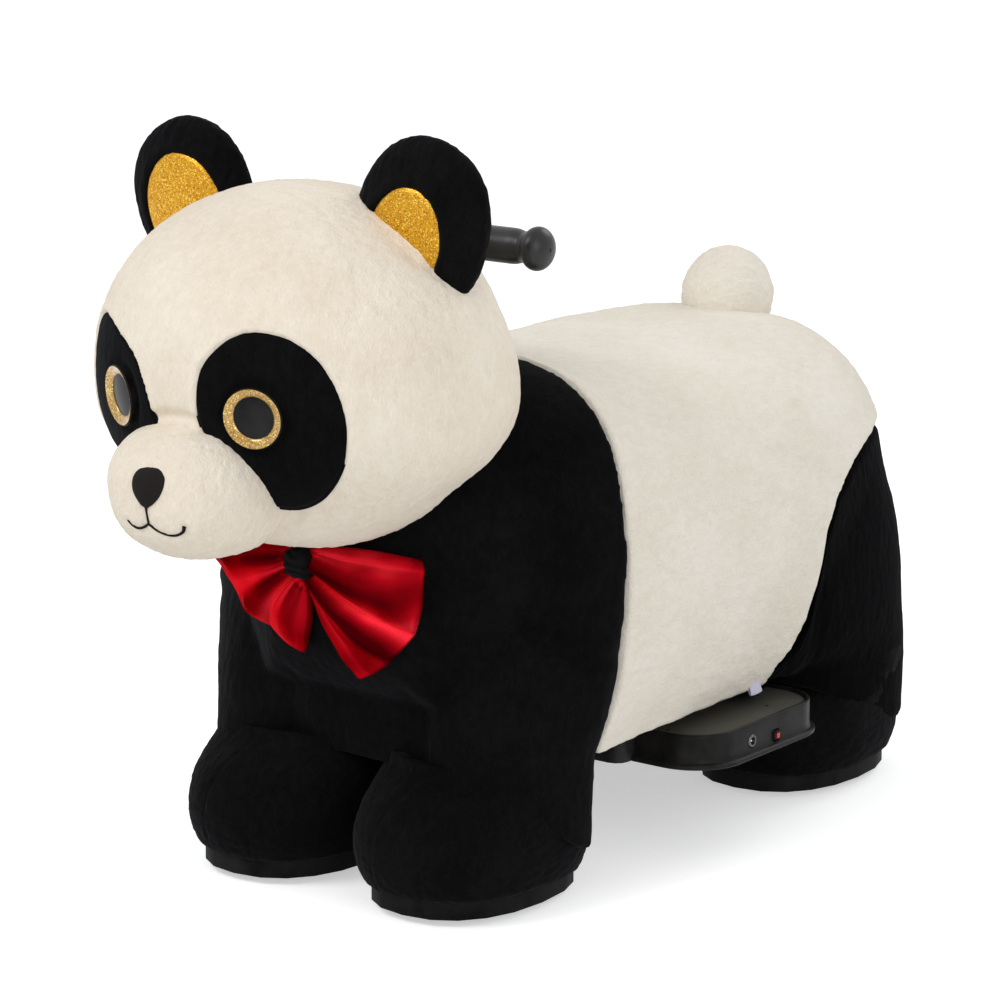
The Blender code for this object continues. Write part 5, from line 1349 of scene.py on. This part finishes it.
def makePaw(word, at):
    # up the outside and over a rounded shoulder that slopes down behind on the front paws
    centreX, centreY = at[0], at[1] + halfway
    front = word.startswith("front")
    c, s = squaredRound(paw["around"], paw["power"])
    smooth = roundLine(paw["levels"], 12, closed=False)
    low, top, roll = paw["low"], np.full(len(c), paw["top"]), paw["shoulder"][word.split("_")[0]]
    if front:
        top = top - paw["fall"] * smoothStep(0.012 + 0.096 * s, -0.010, 0.100)
    rings = []
    for share in np.linspace(0, 1, paw["rows"]):
        z = low + (top - low) * share
        ahead, behind, half = (np.interp(z, smooth[:, 0], smooth[:, k]) for k in (1, 2, 3))
        middle, reach = (ahead + behind) / 2, (behind - ahead) / 2
        inward = roll * rolled(top - z, roll) * (smoothStep(s, -0.2, 0.6) if front else 1)
        off = inward + 0.0045 * rolled(z - low, 0.0060)
        rings.append(np.stack([centreX + c * (half - off), centreY + middle + s * (reach - off), z], 1))
    # turned under at the hem, then straight up inside to the wheel cover
    last = rings[0]
    outline = np.array([centreX, centreY + 0.012, 0.0])
    for share, rise in ((0.975, -0.0002), (0.95, 0.0010), (0.935, 0.006)):
        ring = outline + (last - outline) * (share, share, 1)
        ring[:, 2] = low + rise
        rings.insert(0, ring)
    skin = ringSkin(rings, len(c))
    verts = skin[0]
    height = pileHeight(verts, paw["comb"], 161 + sum(map(ord, word)), 0.0005, 0.0014)
    seamAngle = np.arctan2((verts[:, 1] - centreY) / 0.1, (verts[:, 0] - centreX) / 0.08)
    # two sewn arcs down the front of each paw
    for turn in paw["arcs"]:
        height -= 0.0009 * bell(seamAngle - turn, 0.018)
    finishSkin("paw_skin_" + word, skin, height, blackPlush, "black_plush", "paw_" + word)


for word, at in wheelAt.items():
    makePaw(word, at)
print("paws made")


# Bow: two lobes of pleated satin, each one closed loop of cloth, and the band that gathers them

bow = {
    "middle": (0.0, -0.233 + halfway, 0.276), "fan": {1: (6.0, -71.0), -1: (6.0, -77.0)},
    "flat": (0.088, 0.128), "reach": 96, "across": 120, "turns": 6,
    "root": 0.010, "length": 0.090, "shorter": {1: 0.03, -1: 0.24}, "curl": {1: 0.016, -1: 0.007},
    # height, growth towards the loose end, size and seed of the crumples
    "crumples": ((0.0046, 1.6, 0.034, 17), (0.0026, 1.3, 0.015, 19)),
    # place at the band, place at the loose end, width, height or depth, fading
    "pleats": {1: [(0.46, 0.50, 0.060, 0.0095, 0.05), (0.30, 0.30, 0.085, -0.0072, 0.60),
                   (0.62, 0.66, 0.075, -0.0075, 0.35), (0.06, 0.05, 0.080, 0.0055, 0.20),
                   (0.88, 0.90, 0.070, 0.0030, 0.50)],
               -1: [(0.64, 0.66, 0.060, 0.0070, 0.20), (0.50, 0.50, 0.075, -0.0075, 0.30),
                    (0.34, 0.32, 0.050, 0.0040, 0.80), (0.18, 0.14, 0.100, -0.0060, 0.30),
                    (0.86, 0.88, 0.080, -0.0030, 0.30)]},
}


def lobeShape(side):
    # the two faces of a lobe, and how far each point stands out of its fold, which the satin paints as shade
    # in the folds and highlight on the ridges
    reach = np.linspace(0, 1, bow["reach"])
    fan = np.linspace(0, 1, bow["across"])
    u, v = (g.ravel() for g in np.meshgrid(reach, fan, indexing="ij"))
    top, foot = (radians(turn) for turn in bow["fan"][side])
    angle = top + (foot - top) * v
    length = bow["root"] + bow["length"] * u * (1 - 0.05 * np.sin(pi * v)) * (1 - bow["shorter"][side] * v)
    x, z = length * np.cos(angle), length * np.sin(angle) + 0.011 * (1 - u) * (1 - 2 * v)
    swell = (0.0035 + 0.0105 * np.sin(pi * np.minimum(1, 0.92 * u + 0.08))) * (0.45 + 0.55 * np.sin(pi * v))
    # sharp ridges and soft valleys run out from the band; the loose end crumples
    wander = latticeNoise(np.stack([u * 1.4, v * 3, np.full_like(u, side)], 1), 1.0, 7)
    pleat = 0.0010 * (1 - u) ** 1.3 * np.cos(2 * pi * 8.0 * v + 2.2 * wander)
    for start, end, wide, high, fades in bow["pleats"][side]:
        away = np.abs(v - start - (end - start) * u + 0.02 * wander)
        strength = high * (1 - fades * u) * smoothStep(u, 0.0, 0.10)
        pleat += strength * (np.exp(-away / wide) if high > 0 else bell(away, wide))
    flat = np.stack([x, z, 0 * x], 1)
    crush = sum(high * u ** grows * latticeNoise(flat, size, seed + side)
                for high, grows, size, seed in bow["crumples"])
    # fold depth, 0 down in a valley and 1 up on a ridge, for the satin's painted shade and highlight
    depth = np.clip(0.5 + (pleat + crush - np.median(pleat + crush)) / 0.0105, 0, 1)
    ease = smoothStep(u, 0.0, 0.06)
    base = bow["curl"][side] * (x / 0.088) ** 2 - 0.28 * np.minimum(0, z)
    faces = []
    # the back follows the front's pleats only in part
    for face, follows in ((-1, 1.0), (1, 0.6)):
        y = base + face * swell + (pleat + crush) * ease * follows
        y += face * 0.0012 * ease
        faces.append(np.stack([side * x, y, z], 1) + bow["middle"])
    return faces, depth


def roundedRim(front, back, centre, turns):
    # rows of points that turn the cloth from one face's rim round to the other's
    outward = np.stack([np.gradient(front[:, 2]), 0 * front[:, 0], -np.gradient(front[:, 0])], 1)
    outward = outward / np.maximum(lengths(outward), 1e-9)[:, None]
    if ((front - centre) * outward).sum() < 0:
        outward = -outward
    gap = (back - front) / 2
    turned = [pi * k / turns for k in range(1, turns)]
    return [front + gap * (1 - cos(t)) + outward * lengths(gap)[:, None] * 0.8 * sin(t) for t in turned]


def makeLobe(side, word):
    (front, back), depth = lobeShape(side)
    rows, columns, turns = bow["reach"], bow["across"], bow["turns"]
    size = rows * columns
    quads, _ = gridFaces(rows, columns, around=False)
    grid = np.arange(size).reshape(rows, columns)
    rim = np.concatenate([grid[0], grid[1:, -1], grid[-1, -2::-1], grid[-2:0:-1, 0]])
    turned = roundedRim(front[rim], back[rim], front.mean(0), turns)
    levels = [rim] + [2 * size + k * len(rim) + np.arange(len(rim)) for k in range(turns - 1)] + [rim + size]
    wall = [np.stack([a, b, np.roll(b, -1), np.roll(a, -1)], 1) for a, b in zip(levels, levels[1:])]
    work = bmesh.new()
    verts = [work.verts.new(vert) for vert in np.concatenate([front, back] + turned)]
    ahead = quads if side > 0 else quads[:, ::-1]
    for quad in np.concatenate([ahead, ahead[:, ::-1] + size] + wall).tolist():
        work.faces.new([verts[k] for k in quad])
    bmesh.ops.recalc_face_normals(work, faces=work.faces)
    made = pieceOf(work, "bow_lobe_satin_" + word, satin)
    # the fold depth goes on the mesh for the satin's painted shade and highlight
    fold = np.concatenate([depth, depth, np.tile(depth[rim], turns - 1)])
    made.data.attributes.new("fold", "FLOAT", "POINT").data.foreach_set("value", fold)
    relax = made.modifiers.new("relax", "SMOOTH")
    relax.factor, relax.iterations = 0.4, 2
    settle(made, "root", "red_satin", "bow_lobe_" + word)


band = {
    "radii": (0.0135, 0.0125, 0.0128), "power": 3.0, "cells": 34,
    # height of the gathers and how close they lie, and how far the middle is pulled in
    "gather": 0.0007, "ribs": 900, "waist": 0.0012,
}


def makeBand():
    # a soft black band pulled tight round the bow's middle
    directions, quads, flat = cubeBall(band["cells"])
    places = eggPlaces(directions, band)
    normals = vertexNormals(places, quads)
    gather = band["gather"] * np.cos(places[:, 2] * band["ribs"] + 3 * latticeNoise(places, 0.010, 3))
    gather += 0.0006 * latticeNoise(places, 0.006, 5)
    waist = -band["waist"] * bell(places[:, 0], 0.006)
    places = places + normals * (gather + waist)[:, None] + bow["middle"]
    made = newPiece("bow_band_cloth", places, quads, bandCloth, flat)
    settle(made, "root", "black_plush", "bow_band")


for side, word in sides:
    makeLobe(side, word)
makeBand()
print("bow made")


# Wheel covers, and every other solid that shows as it is

def copiedNode(name, node, body, slot, look, edge):
    # the CAD solid itself with its edges rounded, as a piece in a finish of its own
    source = cadNodes[node]
    mesh = source.data.copy()
    mesh.transform(source.matrix_world)
    mesh.materials.clear()
    work = bmesh.new()
    work.from_mesh(mesh)
    bmesh.ops.remove_doubles(work, verts=work.verts, dist=1e-6)
    bmesh.ops.dissolve_limit(work, angle_limit=radians(1.0), verts=work.verts, edges=work.edges)
    for face in work.faces:
        face.material_index = 0
    work.to_mesh(mesh)
    work.free()
    made = placeMesh(mesh)
    bevel = made.modifiers.new("edge", "BEVEL")
    bevel.width, bevel.segments, bevel.limit_method = edge, 2, "ANGLE"
    bevel.angle_limit, bevel.harden_normals, bevel.use_clamp_overlap = radians(32), False, True
    final = finalMesh(made)
    bpy.data.objects.remove(made)
    final.name = name
    final.shade_smooth()
    final.set_sharp_from_angle(angle=radians(32))
    settle(placeMesh(final, look), body, slot, node)


for word in wheelAt:
    copiedNode("cover_shell_" + word, "wheel_cover_" + word, "root", "cover_plastic", coverPlastic, 0.0009)


# Wheels: moulded rollers with two grooves round the tread, a dished hub and a bore

wheel = {"radius": 0.045, "half": 0.014, "z": 0.045, "bore": {"front": 0.0045, "rear": 0.0055}, "around": 96}


def makeWheel(word, at):
    r, h, bore = wheel["radius"], wheel["half"], wheel["bore"][word.split("_")[0]]
    side = 1 if at[0] > 0 else -1
    inner = [(bore, -h + 0.001), (bore + 0.001, -h), (0.0135, -h), (0.0145, -h + 0.001),
             (0.0160, -h + 0.0045), (0.0330, -h + 0.0045), (0.0350, -h + 0.0008), (0.0365, -h),
             (r - 0.0030, -h), (r - 0.0012, -h + 0.0010), (r - 0.0002, -h + 0.0032), (r, -h + 0.0060),
             (r, -0.0052), (r - 0.0008, -0.0044), (r - 0.0008, -0.0036), (r, -0.0028)]
    profile = inner + [(radius, -along) for radius, along in reversed(inner)]
    place = Vector((at[0], at[1] + halfway, wheel["z"]))
    made = lathe("wheel_roller_" + word, profile, [wheelPlastic], place, (side, 0, 0), wheel["around"])
    settle(made, "wheel_" + word, "wheel_plastic", "wheel_" + word)


for word, at in wheelAt.items():
    makeWheel(word, at)
print("covers and wheels made")


# Steps: footboards with a rounded lip, a recessed deck, and a flared foot

step = {
    "inner": 0.1293, "outer": 0.200, "front": 0.027 + halfway, "back": 0.206 + halfway,
    "low": 0.080, "top": 0.108, "deck": 0.105, "lip": 0.003, "flare": 0.0045, "foot": 0.004,
    "corner": 0.040, "turns": 14, "screws": ((0.174, 0.148), (0.150, 0.040)), "screwHole": 0.0016,
    "jack": (0.201, 0.092 + halfway, 0.0935), "jackHole": 0.0059,
    "button": (0.2025, 0.127 + halfway, 0.0905), "buttonHole": (0.0088, 0.0108),
}


def stepOutline(grow):
    # outline from the inner front corner round the outer side to the inner back corner
    count = step["turns"]
    outer, front, back = step["outer"] + grow, step["front"] - grow, step["back"] + grow
    corner = step["corner"] + grow
    line = [(step["inner"], front)]
    for start, middle in ((-pi / 2, front + corner), (0, back - corner)):
        for k in range(count + 1):
            t = start + pi / 2 * k / count
            line.append((outer - corner + corner * cos(t), middle + corner * sin(t)))
    line.append((step["inner"], back))
    return np.array(line)


def drillBlock(name, place, axis, radius, depth, square=None):
    work = bmesh.new()
    if square:
        bmesh.ops.create_cube(work, size=1.0)
        work.transform(Matrix.Diagonal((square[0], square[1], depth * 2, 1)))
    else:
        bmesh.ops.create_cone(work, segments=40, radius1=radius, radius2=radius, depth=depth * 2,
                              cap_ends=True)
    turn = Vector(axis).to_track_quat("Z", "Y").to_matrix().to_4x4()
    work.transform(Matrix.Translation(place) @ turn)
    return pieceOf(work, name)


def cutWith(piece, cutters):
    for cutter in cutters:
        bite = piece.modifiers.new("bite", "BOOLEAN")
        bite.operation, bite.solver, bite.object = "DIFFERENCE", "EXACT", cutter
    mesh = finalMesh(piece)
    piece.modifiers.clear()
    piece.data = mesh
    for cutter in cutters:
        bpy.data.objects.remove(cutter)


def makeStep(side, word):
    # its profile runs up the outside, over the lip and down onto the deck
    low, top, deck, lip = step["low"], step["top"], step["deck"], step["lip"]
    flare, foot = step["flare"], step["foot"]
    profile = [(flare - 0.0006, low), (flare, low + 0.0006), (flare, low + foot - 0.0008),
               (flare - 0.0008, low + foot), (0.0012, low + foot + 0.0006), (0.0003, low + foot + 0.0018),
               (0.0, low + 0.010), (0.0, top - 0.0022), (-0.0003, top - 0.0010), (-0.0009, top - 0.0003),
               (-0.0016, top), (-lip, top), (-lip - 0.0004, top - 0.0004), (-lip - 0.0009, deck + 0.0008),
               (-lip - 0.0018, deck)]
    rings = []
    for grow, z in profile:
        line = stepOutline(grow)
        rings.append(np.column_stack([side * line[:, 0], line[:, 1], np.full(len(line), z)]))
    count = len(rings[0])
    verts = np.concatenate(rings)
    quads, _ = gridFaces(len(rings), count, around=False)
    last = (len(rings) - 1) * count
    inner = [[0, count - 1] + [k * count + count - 1 for k in range(1, len(rings))]
             + [k * count for k in range(len(rings) - 1, 0, -1)]]
    faces = quads.tolist() + [list(range(count))[::-1], list(range(last, last + count))] + inner
    made = newPiece("step_board_" + word, verts, faces, stepPlastic)
    turnOutwards(made.data)
    cutters = [drillBlock("screw_hole", (side * x, y, deck), (0, 0, 1), step["screwHole"], 0.004)
               for x, y in step["screws"]]
    if side > 0:
        cutters.append(drillBlock("jack_hole", step["jack"], (1, 0, 0), step["jackHole"], 0.019))
        cutters.append(drillBlock("button_hole", step["button"], (1, 0, 0), 0, 0.0145, step["buttonHole"]))
    cutWith(made, cutters)
    # the tread inside the lip is duller than the moulded edge, and painted much lighter than it, as painted
    # light
    made.data.materials.append(deckLitPlastic)
    for face in made.data.polygons:
        if face.normal.z > 0.9 and abs(face.center.z - deck) < 0.0006:
            face.material_index = 1
    made.data.shade_smooth()
    made.data.set_sharp_from_angle(angle=radians(34))
    settle(made, "root", "step_plastic", "foot_step_" + word)


for side, word in sides:
    makeStep(side, word)
print("steps made")


# Handlebar with its waisted rubber grips, go button and column, and the controls in the left step

grip = {
    # radius and distance from the toy's middle
    "sleeve": [(0.0112, 0.066), (0.0128, 0.0662), (0.0136, 0.0668), (0.0139, 0.0680), (0.0140, 0.0720),
               (0.0140, 0.0960), (0.0138, 0.0990), (0.0133, 0.1015), (0.0126, 0.1040), (0.0121, 0.1062),
               (0.0121, 0.1078), (0.0128, 0.1092)],
    "dimple": [(0.0015, 0.1309), (0.0012, 0.1303), (0.0, 0.1302)],
    "bore": [(0.0, 0.1145), (0.0111, 0.1145), (0.0111, 0.0664)],
    "knob": 0.0172, "knobHalf": 0.0120, "knobAt": 0.1190, "bar": (0, -0.092 + halfway, 0.513),
}


def makeGrip(side, word):
    # a grip with a flange, a waist and a round knob with a small dimple
    turns = [radians(138 - 138 * k / 15) for k in range(1, 15)]
    knob = [(grip["knob"] * sin(turn), grip["knobAt"] + grip["knobHalf"] * cos(turn)) for turn in turns]
    profile = grip["sleeve"] + knob + grip["dimple"] + grip["bore"]
    made = lathe("grip_rubber_" + word, profile, [handlePlastic], grip["bar"], (side, 0, 0), 80)
    settle(made, "steering", "handle_plastic", "grip_" + word)


for side, word in sides:
    makeGrip(side, word)
copiedNode("handlebar_tube", "handlebar", "steering", "handle_plastic", handlePlastic, 0.0010)
copiedNode("steering_rod", "steering_column", "steering", "black_steel", blackSteel, 0.0004)
copiedNode("go_button_cap", "go_button", "go_button", "red_plastic", redPlastic, 0.0007)


button = {"cap": (0, 0.0029, 0.0028), "deep": 0.0040, "proud": 0.0010, "edge": 0.0006}


def makePowerButton():
    # a dark bezel round a small red cap
    low, high = (np.array(corner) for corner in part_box("power_button"))
    middle = (low + high) / 2
    outer = high[0]
    spans = [((high - low) / 2, low[0], outer - button["proud"], 0),
             (button["cap"], outer - button["deep"], outer, 1)]
    work = bmesh.new()
    for half, back, front, look in spans:
        made = bmesh.ops.create_cube(work, size=1.0)["verts"]
        bmesh.ops.scale(work, vec=(front - back, half[1] * 2, half[2] * 2), verts=made)
        bmesh.ops.translate(work, vec=((front + back) / 2, middle[1], middle[2]), verts=made)
        for face in {face for vert in made for face in vert.link_faces}:
            face.material_index = look
    bmesh.ops.bevel(work, geom=list(work.edges), offset=button["edge"], segments=3, affect="EDGES",
                    profile=0.5)
    made = pieceOf(work, "power_button_cap", coverPlastic, redPlastic, angle=40)
    settle(made, "power_button", "red_plastic", "power_button")


makePowerButton()
copiedNode("charge_socket_shell", "charge_socket", "root", "socket_metal", socketSteel, 0.0003)


socketPin = {"radius": 0.0012, "recess": 0.0012, "foot": 0.001}


def makeSocketPin():
    # the bright pin in the middle of the charging socket
    low, high = (np.array(corner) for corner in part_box("charge_socket"))
    middle = (low + high) / 2
    radius, foot = socketPin["radius"], low[0] + socketPin["foot"]
    tip = high[0] - socketPin["recess"] - foot
    turns = np.linspace(0.2, pi / 2, 8)
    profile = [(0.0, tip)] + [(radius * sin(turn), tip - radius * (1 - cos(turn))) for turn in turns]
    profile += [(radius, 0.0005), (0.0, 0.0)]
    made = lathe("socket_pin", profile, [pinMetal], (foot, middle[1], middle[2]), (1, 0, 0), 24)
    settle(made, "root", "socket_metal")


makeSocketPin()
copiedNode("tray_moulding", "chassis_tray", "root", "cover_plastic", trayPlastic, 0.0008)
print("steering and buttons made")


# A bare care tag of folded tape, sewn into the body's lower seam

tag = {
    "x": 0.1650, "y": 0.141, "wide": 0.016, "long": 0.0110, "top": 0.1265, "flat": (0.016, 0.024),
    "half": 0.0011, "fold": 0.0022, "rows": 44, "columns": 30,
}


def makeTag():
    rows, columns, fold = tag["rows"], tag["columns"], tag["fold"]
    along = np.linspace(0, 1, rows)
    across = np.linspace(-0.5, 0.5, columns)
    t, s = (g.ravel() for g in np.meshgrid(along, across, indexing="ij"))
    # down the front, round the fold and up behind
    drop = tag["long"] * (1 - np.abs(2 * t - 1))
    share = drop / tag["long"]
    bend = np.clip((drop - tag["long"] + fold) / fold, 0, 1)
    thick = tag["half"] * np.sqrt(np.clip(1 - bend ** 2, 0, 1))
    # it hangs a little outwards and askew
    x = tag["x"] + np.sign(0.5 - t) * thick + 0.0030 * share ** 1.5 + 0.0006 * np.sin(6 * s + 1.0) * share
    y = tag["y"] + tag["wide"] * s + 0.0010 * share
    z = tag["top"] - drop + 0.0005 * np.sin(5 * s) * share
    quads, uvs = gridFaces(rows, columns, around=False)
    made = newPiece("care_tag", np.stack([x, y, z], 1), quads, tagCloth, uvs.reshape(-1, 2))
    settle(made, "root", "cream_plush")


makeTag()


# What lies inside keeps its own solids, each in a finish of its own

insideLooks = {
    "zinc_steel": zincSteel, "black_steel": blackSteel, "nylon": nylonWhite, "brass": brassMetal,
    "plywood": plywood, "battery_case": batteryGrey, "circuit_board": circuitBoard, "red_plastic": redPlastic,
    "socket_metal": socketSteel, "cover_plastic": coverPlastic, "step_plastic": trayPlastic,
    "wheel_plastic": wheelPlastic, "handle_plastic": handlePlastic,
}


for solid in cadNodes.values():
    for slot in solid.material_slots:
        slot.material = insideLooks.get(slot.material.name, slot.material)
print("cad finishes set")
